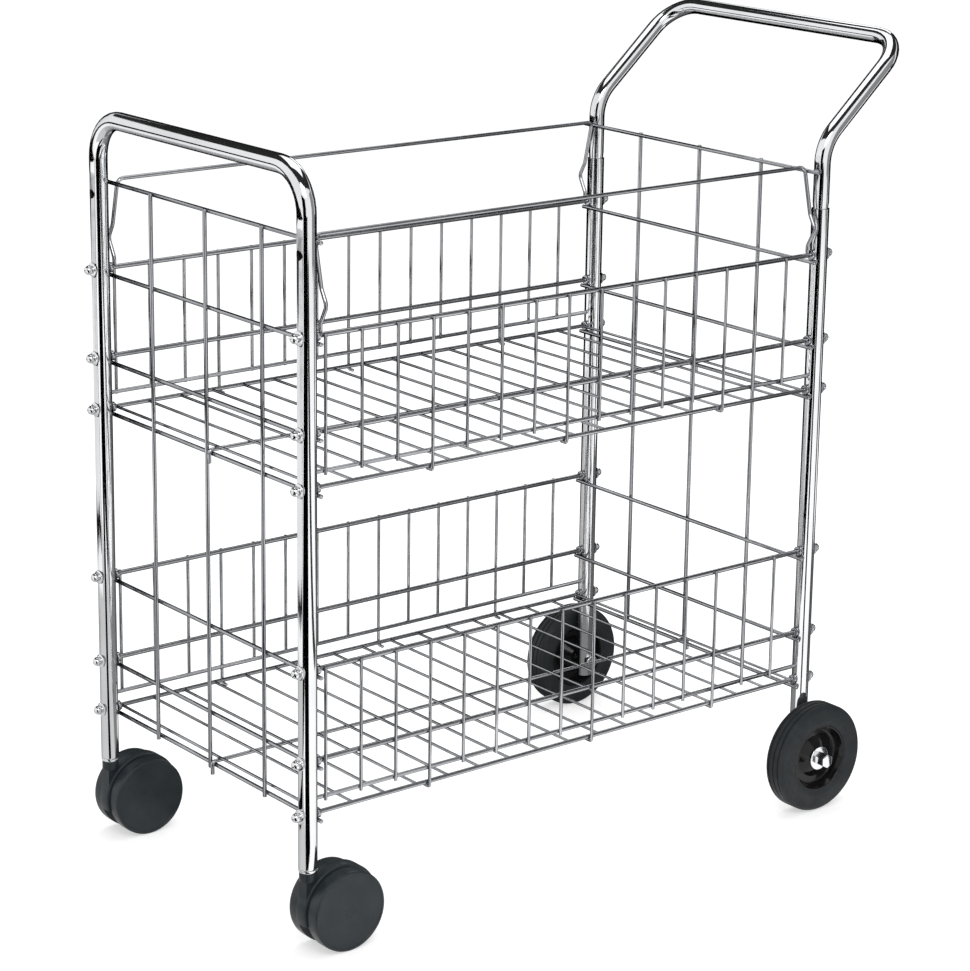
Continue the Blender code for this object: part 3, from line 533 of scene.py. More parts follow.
@dataclass(frozen=True)
class Tubing:
    """The bent tubes: front frame, rear legs and push handle."""

    diameter: float = 0.0222
    wall: float = 0.0015
    sides: int = 32
    bend_steps: int = 10
    end_round: float = 0.0009
    bar_height: float = 0.9135
    corner_radius: float = 0.050
    front_foot: float = 0.105
    rear_foot: float = 0.050
    rear_top: float = 0.7867
    foot_hollow: float = 0.012
    hole_height: float = 0.821
    hole_diameter: float = 0.0115
    hole_depth: float = 0.006
    hole_sides: int = 20
    handle_diameter: float = 0.0204
    plug_diameter: float = 0.0185
    plug_length: float = 0.040
    taper: float = 0.008
    handle_bend_height: float = 0.8673
    handle_bend_radius: float = 0.055
    handle_reach: float = 0.135
    handle_height: float = 0.9861
    handle_corner_radius: float = 0.047

    @staticmethod
    def line(thing: Thing) -> Thing:
        """Gives a piece the tubes' finish and, second, the painted shade of their holes."""
        for finish in (TUBE, HOLE_SHADE):
            thing.data.materials.append(MATERIALS[finish])
        return thing

    def front_frame(self) -> Thing:
        """The upside-down U with a plain hole in the front of each leg."""
        x, y, radius = PLAN.front_x, PLAN.half_spread, self.hole_diameter / 2
        corners = [Vector((x, -y, self.front_foot)), Vector((x, -y, self.bar_height)),
                   Vector((x, y, self.bar_height)), Vector((x, y, self.front_foot))]
        piece = Workpiece.disc("front_tube", corners[0], Z_AXIS, self.diameter / 2, self.sides)
        piece.follow(corners, (self.corner_radius, self.corner_radius), self.bend_steps)
        piece.pick("FACE", lambda centre: centre.z < self.front_foot + MERGE_REACH)
        piece.bevel(self.end_round)
        tube = self.line(piece.off_bench())
        for side in Side:
            lay = lay_along(X_AXIS, (x - self.diameter, side.value * y, self.hole_height))
            profile = ((radius, 0.0), (radius, self.diameter / 2 + self.hole_depth))
            drill = self.line(turn("drill", profile, self.hole_sides, lay))
            # The drilled hole's walls take the second finish, a painted shade.
            for face in drill.data.polygons:
                face.material_index = 1
            boolean(tube, drill, "DIFFERENCE")
        return tube

    def rear_leg(self) -> Thing:
        """The near rear leg, open at the foot and with a socket for the handle in its top."""
        radius = self.diameter / 2
        share = (radius - self.wall) / radius
        foot = Vector((PLAN.rear_x, -PLAN.half_spread, self.rear_foot))
        top = Vector((PLAN.rear_x, -PLAN.half_spread, self.rear_top))
        piece = Workpiece.disc("rear_tube_near", foot, Z_AXIS, radius, self.sides)
        piece.push(top - foot)
        piece.sink(share, top, -self.plug_length - self.wall)
        piece.pick("FACE", lambda centre: (centre - foot).length < MERGE_REACH)
        piece.sink(share, foot, self.foot_hollow)
        return piece.off_bench()

    def handle(self) -> Thing:
        """The push handle, with its reduced ends plugged into the rear legs."""
        x, y = PLAN.rear_x, PLAN.half_spread
        share = self.handle_diameter / self.plug_diameter
        half = [(x, self.rear_top + self.taper), (x, self.handle_bend_height),
                (x + self.handle_reach, self.handle_height)]
        corners = [Vector((along, -y, z)) for along, z in half]
        corners += [Vector((along, y, z)) for along, z in reversed(half)]
        radii = (self.handle_bend_radius, self.handle_corner_radius)
        foot = Vector((x, -y, self.rear_top - self.plug_length))
        piece = Workpiece.disc("push_handle", foot, Z_AXIS, self.plug_diameter / 2, self.sides)
        piece.push(Z_AXIS * self.plug_length)
        piece.push(Z_AXIS * self.taper)
        piece.resize(share, corners[0])
        piece.follow(corners, radii + radii[::-1], self.bend_steps)
        piece.push(Z_AXIS * -self.taper)
        piece.resize(1 / share, Vector((x, y, self.rear_top)))
        piece.push(Z_AXIS * -self.plug_length)
        return piece.off_bench()

    def build(self) -> None:
        """Makes and dresses the tubes."""
        dress(self.front_frame(), TUBE, "front_frame")
        dress_pair(self.rear_leg(), TUBE, "rear_leg")
        dress(self.handle(), TUBE, "handle")


TUBING = Tubing()


@dataclass(frozen=True)
class Wire:
    """Straight and bent round wire with rounded ends."""

    diameter: float
    sides: int = 14
    bend_steps: int = 5
    end_round_share: float = 0.125

    def straight(self, name: str, start: Vector, end: Vector) -> Thing:
        """A straight wire between two points."""
        return self.bent(name, (start, end), ())

    def bent(self, name: str, corners: Sequence[Vector], radii: Sequence[float]) -> Thing:
        """A wire along corner points with a bend radius at each inner one."""
        piece = Workpiece.disc(name, corners[0], corners[1] - corners[0], self.diameter / 2, self.sides)
        piece.follow(corners, radii, self.bend_steps)
        ends = (corners[0], corners[-1])
        piece.pick("FACE", lambda centre: min((centre - end).length for end in ends) < MERGE_REACH)
        piece.bevel(self.diameter * self.end_round_share)
        return piece.off_bench()

    def nutted(self, name: str, y: float, height: float) -> Thing:
        """A lengthwise wire with a weld nut on each end, from leg to leg."""
        radius, nut, thick = self.diameter / 2, FIT.nut_radius, FIT.nut_thickness
        length = PLAN.wheelbase - 2 * FIT.leg_flat
        profile = ((nut, 0.0), (nut, thick), (radius, thick), (radius, length - thick),
                   (nut, length - thick), (nut, length))
        return turn(name, profile, self.sides, lay_along(X_AXIS, (PLAN.front_x + FIT.leg_flat, y, height)),
                    [((0, 1, 4, 5), FIT.nut_round, 2)])


FLOOR_RIM = Wire(0.0053)


@dataclass(frozen=True)
class EndPanel:
    """The wire panel between two legs at one end of the baskets."""

    wire: Wire = Wire(0.005)
    overhang: float = 0.009
    drop: float = 0.009
    top_rise: float = 0.104
    upright_spacing: float = 0.115
    upright_tail: float = 0.004

    def front(self) -> Thing:
        """The front panel, with seven crosswise wires from the top down and three uprights."""
        x = PLAN.front_x + FIT.leg_flat + self.wire.diameter / 2
        reach = PLAN.half_spread + self.overhang
        levels = [PLAN.upper[0] + self.top_rise] + [level - self.drop for level in PLAN.levels]
        crosswise = self.wire.straight("front_wire_panel", Vector((x, -reach, levels[0])),
                                       Vector((x, reach, levels[0])))
        wires = [copied(crosswise, "crosswise", shift(z=level - levels[0])) for level in levels[1:]]
        upright_x = x - self.wire.diameter + FIT.weld
        foot = Vector((upright_x, 0.0, levels[-1] - self.upright_tail))
        top = Vector((upright_x, 0.0, levels[0] + self.wire.diameter / 2))
        upright = self.wire.straight("upright", foot, top)
        others = [copied(upright, "upright", shift(y=side.value * self.upright_spacing)) for side in Side]
        return joined(crosswise, *wires, upright, *others)

    def build(self) -> None:
        """Makes and dresses both panels."""
        front = self.front()
        rear = mirrored(front, "rear_wire_panel", X_AXIS, PLAN.middle_x)
        dress(front, WIRE, "front_end_panel")
        dress(rear, WIRE, "rear_end_panel")


@dataclass(frozen=True)
class SidePanel:
    """One side of a basket: lengthwise wires with uprights welded on their outside."""

    basket: str
    hooked: tuple[int, ...]
    rim: Wire = Wire(0.006, 16)
    low: Wire = Wire(0.005)
    stave: Wire = Wire(0.004, 12)
    low_rise: float = 0.0182
    count: int = 15
    first: float = 0.0217
    pitch: float = 0.0497
    rise: float = 0.002
    tail: float = 0.004
    hook_radius: float = 0.003
    hook_reach: float = 0.0105

    def near(self) -> Thing:
        """The near side's panel."""
        rim_z, middle_z, floor_z = PLAN.upper if self.basket == "upper" else PLAN.lower
        y = -PLAN.half_spread
        low_z = floor_z + self.low_rise
        low_y = y - (self.rim.diameter - self.low.diameter) / 2
        rim = self.rim.nutted(f"{self.basket}_wire_side_near", y, rim_z)
        middle = copied(rim, "middle", shift(z=middle_z - rim_z))
        low = self.low.straight("low", Vector((PLAN.front_x + FIT.leg_flat, low_y, low_z)),
                                Vector((PLAN.rear_x - FIT.leg_flat, low_y, low_z)))
        stave_y = y - self.rim.diameter / 2 - self.stave.diameter / 2 + FIT.weld
        top = Vector((PLAN.front_x, stave_y, rim_z + self.rise))
        plain = self.stave.straight("stave", Vector((top.x, top.y, low_z - self.tail)), top)
        hook_z = floor_z - FLOOR_RIM.diameter / 2 - FIT.gap - self.stave.diameter / 2
        corner = Vector((top.x, top.y, hook_z))
        hook = self.stave.bent("hooked_stave", (corner + Y_AXIS * self.hook_reach, corner, top),
                               (self.hook_radius,))
        staves = [copied(hook if index in self.hooked else plain, "stave",
                         shift(self.first + index * self.pitch)) for index in range(self.count)]
        bpy.data.objects.remove(plain)
        bpy.data.objects.remove(hook)
        return joined(rim, middle, low, *staves)

    def build(self) -> None:
        """Makes and dresses the panel on both sides."""
        dress_pair(self.near(), WIRE, f"{self.basket}_side")


@dataclass(frozen=True)
class BasketFloor:
    """A basket's floor: two rims, crosswise wires and a hooked wire along the middle below them."""

    rim: Wire = FLOOR_RIM
    cross: Wire = Wire(0.0035, 12)
    cross_end: float = FLOOR_RIM.diameter / 6
    centre: Wire = Wire(0.0048)
    count: int = 17
    inset: float = 0.0175
    centre_offset: float = -0.006
    hook_place: float = 0.00802
    hook_drop: float = 0.016
    hook_radius: float = 0.004

    def lower(self) -> Thing:
        """The lower basket's floor."""
        height = PLAN.lower[2]
        near = self.rim.nutted("lower_wire_floor", -PLAN.half_spread, height)
        far = copied(near, "far_rim", shift(y=2 * PLAN.half_spread))
        reach = PLAN.half_spread - self.cross_end
        x = PLAN.front_x + self.inset
        cross = self.cross.straight("cross", Vector((x, -reach, height)), Vector((x, reach, height)))
        pitch = (PLAN.wheelbase - 2 * self.inset) / (self.count - 1)
        wires = [copied(cross, "cross", shift(index * pitch)) for index in range(1, self.count)]
        top = height - (self.cross.diameter + self.centre.diameter) / 2 + FIT.weld
        foot = top - self.hook_drop
        front, rear = PLAN.front_x + self.hook_place, PLAN.rear_x - self.hook_place
        corners = [Vector((along, self.centre_offset, z))
                   for along, z in ((front, foot), (front, top), (rear, top), (rear, foot))]
        centre = self.centre.bent("centre_wire", corners, (self.hook_radius, self.hook_radius))
        return joined(near, far, cross, *wires, centre)

    def build(self) -> None:
        """Makes and dresses both floors."""
        lower = self.lower()
        upper = copied(lower, "upper_wire_floor", shift(z=PLAN.upper[2] - PLAN.lower[2]))
        dress(lower, WIRE, "lower_floor")
        dress(upper, WIRE, "upper_floor")


@dataclass(frozen=True)
class FileRail:
    """The rail for hanging folders along the top of one side, with bent feet on the rim."""

    wire: Wire = Wire(0.0048, 16, 6)
    top_rise: float = 0.1092
    inset: float = 0.01872
    foot_rise: float = 0.003
    spread_shares: tuple[float, ...] = (0.9953, 0.9953, 1.0512, 1.0047, 0.9442)
    rises: tuple[float, ...] = (0.012, 0.034, 0.052)
    bend_radius: float = 0.010
    top_radius: float = 0.008

    def near(self) -> Thing:
        """The near side's rail."""
        rim_z = PLAN.upper[0]
        heights = [rim_z + rise for rise in (self.foot_rise, *self.rises, self.top_rise)]
        drop = [(-PLAN.half_spread * share, z) for share, z in zip(self.spread_shares, heights)]
        front = [Vector((PLAN.front_x + self.inset, y, z)) for y, z in drop]
        rear = [Vector((PLAN.rear_x - self.inset, y, z)) for y, z in reversed(drop)]
        radii = (self.bend_radius,) * len(self.rises) + (self.top_radius,)
        return self.wire.bent("hanging_rail_near", front + rear, radii + radii[::-1])

    def build(self) -> None:
        """Makes and dresses the rails of both sides."""
        dress_pair(self.near(), WIRE, "file_rail")


@dataclass(frozen=True)
class CapScrews:
    """The ball-headed screws through the legs."""

    sides: int = 24
    shank_radius: float = 0.002
    shank_depth: float = 0.006
    flange_radius: float = 0.0087
    flange: float = 0.002
    flange_edge: float = 0.0009
    ball_radius: float = 0.0057
    ball_lift: float = 0.00503
    ball_steps: int = 9
    ball_foot_share: float = 1.12
    crown_angle: float = math.radians(85)
    edge_round: float = 0.0004

    def model(self) -> Thing:
        """One screw, its axis along Z and its leg's axis at the origin."""
        seat = FIT.leg_flat
        start = math.asin((self.flange - self.ball_lift) / self.ball_radius)
        step = (self.crown_angle - start) / self.ball_steps
        angles = [start + index * step for index in range(self.ball_steps + 1)]
        centre = seat + self.ball_lift
        ball = [(self.ball_radius * math.cos(angle), centre + self.ball_radius * math.sin(angle))
                for angle in angles]
        profile = ((self.shank_radius, seat - self.shank_depth), (self.shank_radius, seat),
                   (self.flange_radius, seat), (self.flange_radius, seat + self.flange_edge),
                   (ball[0][0] * self.ball_foot_share, seat + self.flange), *ball)
        return turn("cap_screw", profile, self.sides, rounds=[((3,), self.edge_round, 3)])

    def build(self) -> None:
        """Puts a screw at each level of each leg."""
        model = self.model()
        for end, x in zip(End, (PLAN.front_x, PLAN.rear_x)):
            for side in Side:
                for number, height in enumerate(PLAN.levels, 1):
                    lay = lay_along(X_AXIS * end.value, (x, side.value * PLAN.half_spread, height))
                    label = f"{end.word}_{side.word}_{number}"
                    dress(copied(model, f"cap_screw_{label}", lay), FASTENER, f"screw_{label}")
        bpy.data.objects.remove(model)


@dataclass(frozen=True)
class Caster:
    """A swivelling caster: plug in the leg, hooded housing and two disc wheels."""

    radius: float = 0.049
    inner: float = 0.0095
    outer: float = 0.0273
    face_radius: float = 0.0470
    face_round: float = 0.0004
    shoulder_radius: float = 0.0486
    shoulder_depth: float = 0.0009
    panel_radius: float = 0.0452
    panel_depth: float = 0.0005
    tread_depth: float = 0.005
    back_round: float = 0.0015
    hub_mark_radius: float = 0.0065
    hub_mark_depth: float = 0.0003
    wheel_sides: int = 72
    hood_radius: float = 0.052
    core_radius: float = 0.044
    half_width: float = 0.009
    hood_round: float = 0.0016
    droop: float = math.radians(15)
    web_half: float = 0.0070
    web_sides: int = 4
    neck_radius: float = 0.01025
    neck_foot: float = 0.0891
    neck_top: float = 0.101
    neck_round: float = 0.0012
    stem_radius: float = 0.0055
    stem_height: float = 0.034
    plug_depth: float = 0.036
    flange_height: float = 0.004
    flange_round: float = 0.0007
    sides: int = 40

    def wheel(self) -> Thing:
        """The near caster's outer wheel: a disc with a round shoulder and a shallow mark at its hub."""
        mark, panel = self.hub_mark_radius, self.outer - self.panel_depth
        profile = ((self.radius - 2 * self.back_round, self.inner),
                   (self.radius, self.inner + self.back_round), (self.radius, self.outer - self.tread_depth),
                   (self.shoulder_radius, self.outer - self.shoulder_depth), (self.face_radius, self.outer),
                   (self.panel_radius, self.outer), (self.panel_radius - self.panel_depth, panel),
                   (mark + self.hub_mark_depth, panel), (mark, panel - self.hub_mark_depth))
        return turn("twin_wheel_near_a", profile, self.wheel_sides, lay_along(-Y_AXIS, PLAN.caster_axle),
                    [((2, 3), self.face_round, 3), ((4,), self.face_round, 2)])

    def drum(self, name: str, radius: float, segments: int) -> Thing:
        """A drum across the near caster, as wide as its housing and rounded at its rims."""
        profile = ((radius, -self.half_width), (radius, self.half_width))
        return turn(name, profile, self.wheel_sides, lay_along(-Y_AXIS, PLAN.caster_axle),
                    [((0, 1), self.hood_round, segments)])

    def hood(self) -> Thing:
        """The near caster's housing: hood over a smaller core, web and neck with its stem."""
        axle, stem = PLAN.caster_axle, Vector((PLAN.front_x, PLAN.caster_axle.y, 0.0))
        body = self.drum("caster_hood_near", self.hood_radius, 3)
        Workpiece.open_up()
        low = axle - Z_AXIS * self.hood_radius * math.sin(self.droop)
        bpy.ops.mesh.bisect(plane_co=tuple(low), plane_no=tuple(Z_AXIS), use_fill=True, clear_inner=True)
        bpy.ops.object.mode_set(mode="OBJECT")
        boolean(body, self.drum("core", self.core_radius, 2))
        web = Workpiece.disc("web", stem + Z_AXIS * axle.z, Z_AXIS, self.web_half * math.sqrt(2),
                             self.web_sides)
        web.push(Z_AXIS * (self.neck_top - axle.z - self.neck_round * 2))
        square = Matrix.Translation(stem) @ Matrix.Rotation(math.pi / 4, 4, "Z") @ Matrix.Translation(-stem)
        boolean(body, web.off_bench(square))
        for name, radius, foot, top, rounds in (
                ("neck", self.neck_radius, self.neck_foot, self.neck_top, [((1, 0), self.neck_round, 3)]),
                ("pin", self.stem_radius, self.neck_top - self.neck_round, self.neck_top + self.stem_height,
                 ())):
            post = turn(name, ((radius, foot), (radius, top)), self.sides, Matrix.Translation(stem), rounds)
            boolean(body, post)
        return Workpiece(body).off_bench()

    def plug(self) -> Thing:
        """The near front leg's plug: a flange below the tube and a sleeve inside it."""
        foot, tube_end = self.neck_top + FIT.gap, self.neck_top + self.flange_height
        leg = TUBING.diameter / 2
        bore, sleeve = self.stem_radius + 2 * FIT.gap, leg - TUBING.wall - FIT.gap
        top = tube_end + self.plug_depth
        profile = ((bore, foot), (leg, foot), (leg, tube_end - FIT.gap),
                   (sleeve, tube_end - FIT.gap), (sleeve, top), (bore, top))
        return turn("leg_plug_near", profile, self.sides, shift(PLAN.front_x, -PLAN.half_spread),
                    [((1, 2), self.flange_round, 2)], closed=True)

    def build(self) -> None:
        """Makes and dresses both casters."""
        outer = self.wheel()
        inner = mirrored(outer, "twin_wheel_near_b", Y_AXIS, -PLAN.half_spread)
        hood, plug = self.hood(), self.plug()
        near = (plug, hood, outer, inner)
        across = shift(y=2 * PLAN.half_spread)
        far = [copied(thing, thing.name.replace("near", "far"), across) for thing in near]
        for side, (plug, hood, outer, inner) in zip(Side, (near, far)):
            dress(plug, FASTENER, f"caster_socket_{side.word}")
            dress(hood, PLASTIC, f"caster_body_{side.word}", f"caster_{side.word}")
            for letter, wheel in (("a", outer), ("b", inner)):
                body = f"caster_wheel_{side.word}_{letter}"
                dress(wheel, PLASTIC, body, body)
            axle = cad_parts[f"caster_axle_{side.word}"]
            axle.data.materials.clear()
            axle.data.materials.append(MATERIALS[STEEL])
            LOG.info("%s keeps its solid", axle.name)


@dataclass(frozen=True)
class RearWheel:
    """A fixed rear wheel: grooved tyre, dished rim and the bolt, washer and nut that hold it."""

    radius: float = 0.071
    inner: float = 0.0127
    outer: float = 0.0448
    shoulder: float = 0.0045
    shoulder_round: float = 0.0016
    wall_radius: float = 0.050
    wall_bulge: float = 0.0022
    wall_round: float = 0.0008
    bore: float = 0.044
    groove_count: int = 3
    groove_width: float = 0.0022
    groove_depth: float = 0.0018
    groove_floor: float = groove_width / 3
    sides: int = 72
    lip: float = 0.0022
    lip_round: float = 0.0008
    dish_radius: float = 0.037
    dish_depth: float = 0.0125
    dish_round: float = 0.0016
    plate: float = 0.0022
    hub_foot_radius: float = 0.027
    hub_radius: float = 0.0135
    hub_end_depth: float = 0.0056
    washer_radius: float = 0.0155
    washer_thickness: float = 0.0022
    washer_round: float = 0.0006
    washer_sides: int = 40
    nut_radius: float = 0.00925
    nut_thickness: float = 0.0129
    nut_round: float = 0.0009
    nut_sides: int = 6
    bolt_radius: float = 0.006
    bolt_end: float = 0.0016
    bolt_round: float = 0.0012
    bolt_sides: int = 32
    head_radius: float = 0.009
    head_thickness: float = 0.0067

    @property
    def lay(self) -> Matrix:
        """Where the near wheel's turned shapes go."""
        return lay_along(-Y_AXIS, (PLAN.rear_x, -PLAN.half_spread, PLAN.wheel_axle_height))

    def tyre(self) -> Thing:
        """The near tyre, with its tread grooves and rounded shoulders."""
        tread = []
        pitch = (self.outer - self.inner) / (self.groove_count + 1)
        for index in range(1, self.groove_count + 1):
            middle = self.inner + index * pitch
            tread += [(self.radius, middle - self.groove_width / 2),
                      (self.radius - self.groove_depth, middle - self.groove_floor / 2),
                      (self.radius - self.groove_depth, middle + self.groove_floor / 2),
                      (self.radius, middle + self.groove_width / 2)]
        profile = [(self.radius - self.shoulder, self.inner), (self.radius, self.inner + self.shoulder),
                   *tread, (self.radius, self.outer - self.shoulder),
                   (self.radius - self.shoulder, self.outer), (self.wall_radius, self.outer),
                   (self.bore, self.outer - self.wall_bulge), (self.bore, self.inner + self.wall_bulge),
                   (self.wall_radius, self.inner)]
        return turn("rubber_tyre_near", profile, self.sides, self.lay,
                    [((1, -6, -5, 0), self.shoulder_round, 3), ((-4, -1), self.wall_round, 2)], closed=True)

    def rim(self) -> Thing:
        """The near rim: rolled lips, a dish and a cone-shaped hub."""
        seat = self.bore - FIT.gap
        lip_outer, lip_inner = self.outer - self.wall_bulge, self.inner + self.wall_bulge
        bore = self.bolt_radius + FIT.gap
        plate = lip_outer - self.dish_depth
        hub_end = self.outer - self.hub_end_depth
        back = plate - self.plate
        profile = [(bore, self.inner), (self.hub_radius, self.inner), (self.hub_foot_radius, back),
                   (self.dish_radius, back), (seat - self.lip, lip_inner), (seat, lip_inner),
                   (seat, lip_outer), (seat - self.lip, lip_outer), (self.dish_radius, plate),
                   (self.hub_foot_radius, plate), (self.hub_radius, hub_end), (bore, hub_end)]
        return turn("wheel_disc_near", profile, self.sides, self.lay,
                    [((7, 10), self.lip_round, 3), ((8, 9), self.dish_round, 4)], closed=True)

    def washer(self) -> Thing:
        """The near washer, with a rounded rim."""
        foot = self.outer - self.hub_end_depth + FIT.gap
        top, hole = foot + self.washer_thickness, self.bolt_radius + FIT.gap
        profile = ((hole, foot), (self.washer_radius, foot), (self.washer_radius, top), (hole, top))
        return turn("wheel_washer_near", profile, self.washer_sides, self.lay,
                    [((1, 2), self.washer_round, 3)], closed=True)

    def nut(self) -> Thing:
        """The near hexagon cap nut, with softened corners, over the bolt's end."""
        foot = self.outer - self.hub_end_depth + 2 * FIT.gap + self.washer_thickness
        profile = ((self.nut_radius, foot), (self.nut_radius, foot + self.nut_thickness + self.bolt_end))
        return turn("wheel_nut_near", profile, self.nut_sides, self.lay, [((1,), self.nut_round, 2)])

    def bolt(self) -> Thing:
        """The near axle bolt, from its head inside the leg to its end under the cap nut."""
        end = self.outer - self.hub_end_depth + FIT.gap + self.washer_thickness
        seat = FIT.leg_flat
        profile = ((self.head_radius, -seat - self.head_thickness), (self.head_radius, -seat),
                   (self.bolt_radius, -seat), (self.bolt_radius, end))
        return turn("wheel_bolt_near", profile, self.bolt_sides, self.lay, [((0, 3), self.bolt_round, 3)])

    def build(self) -> None:
        """Makes and dresses both rear wheels."""
        parts = ((self.tyre(), RUBBER, "tyre", "rear_wheel"), (self.rim(), PAINT, "rim", "rear_wheel"),
                 (self.bolt(), FASTENER, "axle_bolt"), (self.washer(), FASTENER, "axle_washer"),
                 (self.nut(), FASTENER, "axle_nut"))
        for part in parts:
            dress_pair(*part)


@dataclass(frozen=True)
class Lamp:
    """One soft box: a rectangular lamp that looks at a point of the cart."""

    name: str
    place: Place
    width: float
    height: float
    power: float
    target: Place = (0.0, 0.0, 0.4)

    def light(self) -> None:
        """Hangs the lamp."""
        data = bpy.data.lights.new(self.name, "AREA")
        data.shape = "RECTANGLE"
        data.size, data.size_y = self.width, self.height
        data.energy = self.power
        thing = bpy.data.objects.new(self.name, data)
        thing.location = self.place
        aim = Vector(self.target) - Vector(self.place)
        thing.rotation_euler = aim.to_track_quat("-Z", "Y").to_euler()
        bpy.context.collection.objects.link(thing)


def plane(name: str, size: float) -> Thing:
    """A square plane at the origin."""
    bpy.ops.object.select_all(action="DESELECT")
    bpy.ops.mesh.primitive_plane_add(size=size)
    bpy.context.object.name = name
    return bpy.context.object


@dataclass(frozen=True)
class Card:
    """A card beside the set that bright metal mirrors and the camera doesn't see: a painted reflection.

    It lies with its near edge at its distance, or stands there square to the cart. The far edge of a
    lying card is as wide as its near edge times the spread. The shade runs from 0 for black to 1; it is
    the card's glow, which lights nothing and casts no shadow, so it shows only as painted reflections.
    """

    name: str
    azimuth: float
    distance: float
    width: float
    length: float
    foot: float = 0.0
    lying: bool = True
    centre: tuple[float, float] = (0.0, 0.0)
    spread: float = 1.0
    shade: float = 0.0

    def hang(self) -> None:
        """Shapes the card, puts it in its place and shades it."""
        angle = math.radians(self.azimuth)
        reach = self.distance + (self.length / 2 if self.lying else 0.0)
        place = Vector((*self.centre, self.foot if self.lying else self.foot + self.length / 2))
        card = plane(self.name, 1.0)
        for vertex in card.data.vertices:
            vertex.co.x *= self.width * (self.spread if vertex.co.y < 0.0 else 1.0)
            vertex.co.y *= self.length
        card.location = place + Vector((math.cos(angle), math.sin(angle), 0.0)) * reach
        card.rotation_euler = (0.0 if self.lying else math.pi / 2, 0.0, angle + math.pi / 2)
        bpy.ops.object.transform_apply()
        recipe = Recipe(self.name)
        recipe.feed(recipe.shader, base_color=BLACK, roughness=1.0, specular_ior_level=0.0,
                    emission_color=WHITE, emission_strength=self.shade)
        card.data.materials.append(recipe.material)
        for ray in ("visible_camera", "visible_diffuse", "visible_shadow"):
            setattr(card, ray, False)


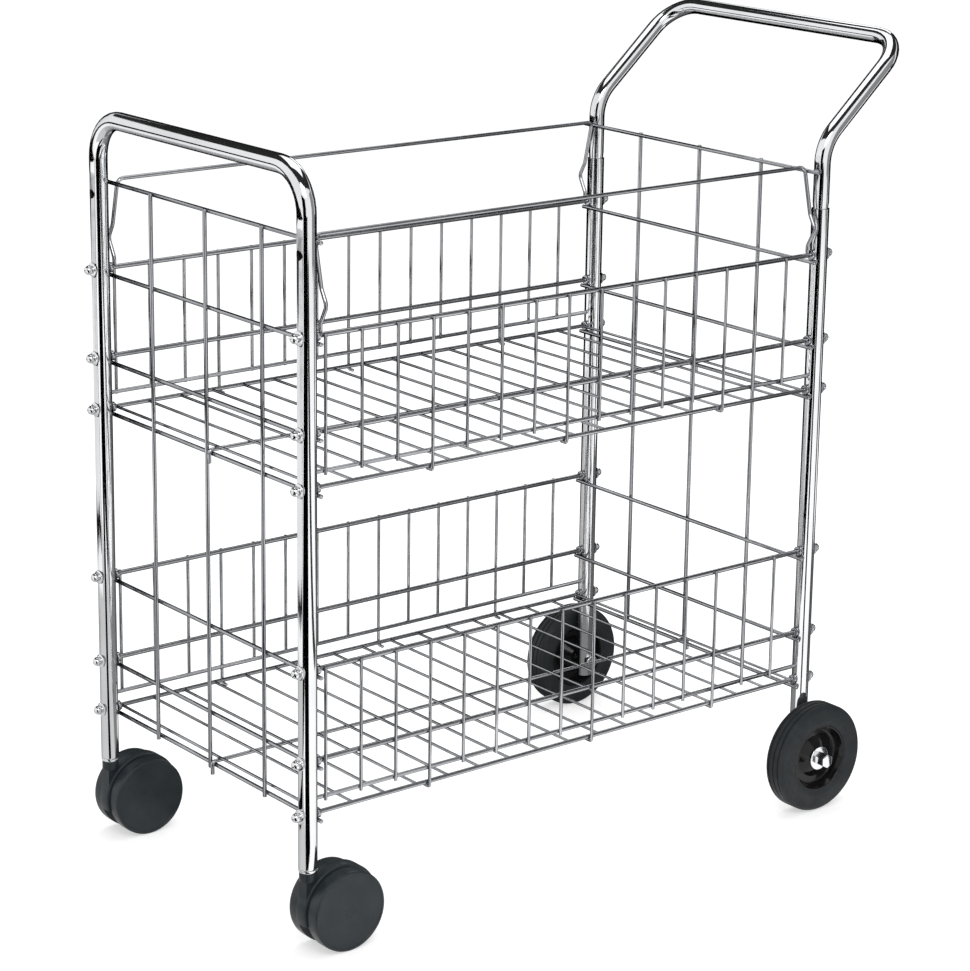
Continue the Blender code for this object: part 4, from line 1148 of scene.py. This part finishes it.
@dataclass(frozen=True)
class Studio:
    """Pale floor, white surroundings, soft lamps and cards that paint reflections into the metal."""

    floor_size: float = 60.0
    floor_colour: Place = (0.80, 0.80, 0.80)
    floor_roughness: float = 0.9
    floor_glow: float = 0.52
    ambient: float = 0.62
    lamps: tuple[Lamp, ...] = (
        Lamp("key_lamp", (-1.6, -2.2, 2.8), 1.6, 1.2, 26.0),
        Lamp("top_lamp", (0.3, 0.4, 3.0), 2.2, 2.2, 22.0),
        Lamp("back_lamp", (2.2, 1.6, 2.2), 1.2, 1.2, 10.0),
    )
    # Cards seen only in mirrors paint reflections: dark and grey stripes and edges in the chrome, the stripe
    # and edge fans each aimed at one leg.
    cards: tuple[Card, ...] = (
        Card("ceiling_card", 0.0, -2.6, 7.6, 7.0, 3.4, centre=(0.0, 1.1), shade=0.025),
        Card("back_card", 38.0, 4.2, 13.0, 3.4, lying=False, shade=0.02),
        Card("right_card", 311.0, 4.2, 3.2, 3.4, lying=False, shade=0.28),
        Card("front_card", 214.0, 7.0, 4.0, 3.4, lying=False),
        Card("back_floor_card", 51.5, 0.95, 14.0, 7.0, 0.002),
        Card("back_near_card", 51.5, 0.12, 3.0, 0.83, 0.001, shade=0.14),
        Card("left_floor_card", 150.0, 3.4, 7.0, 5.0, 0.002),
        Card("left_near_card", 150.0, 0.30, 1.75, 1.45, 0.001, centre=(0.1625, 0.2815), shade=0.70),
        Card("stripe_card", 221.0, 0.15, 0.13, 7.2, 0.003, centre=(-0.389, -0.215), spread=48.0),
        Card("far_stripe_card", 217.0, 0.15, 0.06, 7.2, 0.004, centre=(-0.389, 0.215), spread=48.0),
        Card("rear_stripe_card", 241.5, 0.15, 0.048, 5.0, 0.005, centre=(0.327, -0.215), spread=34.0,
             shade=0.03),
        Card("rear_edge_card", 321.0, 0.12, 0.042, 6.0, 0.006, centre=(0.327, -0.215), spread=50.0,
             shade=0.05),
        Card("under_card", 0.0, -0.36, 0.38, 0.72, 0.002, shade=0.25),
    )

    def world(self) -> None:
        """White to the camera and to mirrors, and an even softer light on the cart."""
        world = bpy.data.worlds.new("studio")
        bpy.context.scene.world = world
        world.use_nodes = True
        nodes = Nodes(world.node_tree)
        level = nodes.add("ShaderNodeMapRange", value=nodes.seen(), to_min=self.ambient, to_max=1.0)
        nodes.feed(nodes.tree.nodes["Background"], color=WHITE, strength=level.outputs["Result"])

    def floor(self) -> None:
        """A pale floor that keeps the cart's shadow and looks white to the camera and to mirrors."""
        floor = plane("studio_floor", self.floor_size)
        recipe = Recipe("pale_floor")
        recipe.feed(recipe.shader, base_color=(*self.floor_colour, 1.0),
                    roughness=self.floor_roughness, specular_ior_level=0.0, emission_color=WHITE,
                    emission_strength=recipe.combine("MULTIPLY", recipe.seen(), self.floor_glow))
        floor.data.materials.append(recipe.material)

    def set_up(self) -> None:
        """Sets the stage."""
        bpy.context.scene.view_settings.view_transform = "Standard"
        self.world()
        self.floor()
        for lamp in self.lamps:
            lamp.light()
        for card in self.cards:
            card.hang()


@dataclass(frozen=True)
class Camera:
    """The viewpoint of the photograph, in its frame of 970 by 971 pixels."""

    image_width: float = 970.0
    focal_pixels: float = 2999.0
    sensor: float = 36.0
    place: Place = (-2.2773, -2.8242, 1.4923)
    azimuth: float = 231.48
    pitch: float = 15.14
    roll: float = 0.81
    centre_lift_pixels: float = 60.0
    clip_end: float = 200.0

    def set_up(self) -> None:
        """Puts the camera in place and makes it the scene's."""
        data = bpy.data.cameras.new("photo_camera")
        data.sensor_fit = "HORIZONTAL"
        data.sensor_width = self.sensor
        data.lens = self.focal_pixels / self.image_width * self.sensor
        data.shift_y = -self.centre_lift_pixels / self.image_width
        data.clip_end = self.clip_end
        thing = bpy.data.objects.new("photo_camera", data)
        aim = Euler((math.radians(90.0 - self.pitch), 0.0, math.radians(self.azimuth + 90.0)))
        roll = Matrix.Rotation(math.radians(self.roll), 4, "Z")
        thing.matrix_world = Matrix.Translation(self.place) @ aim.to_matrix().to_4x4() @ roll
        bpy.context.collection.objects.link(thing)
        bpy.context.scene.camera = thing


def main() -> None:
    """Builds the cart's looks, its studio and its camera."""
    logging.basicConfig(level=logging.INFO, format="%(name)s: %(message)s")
    Camera().set_up()
    for part in (TUBING, EndPanel(), SidePanel("upper", (3, 7, 12)), SidePanel("lower", (3, 8, 12)),
                 BasketFloor(), FileRail(), CapScrews(), Caster(), RearWheel()):
        part.build()
    Studio().set_up()


if __name__ == "__main__":
    main()
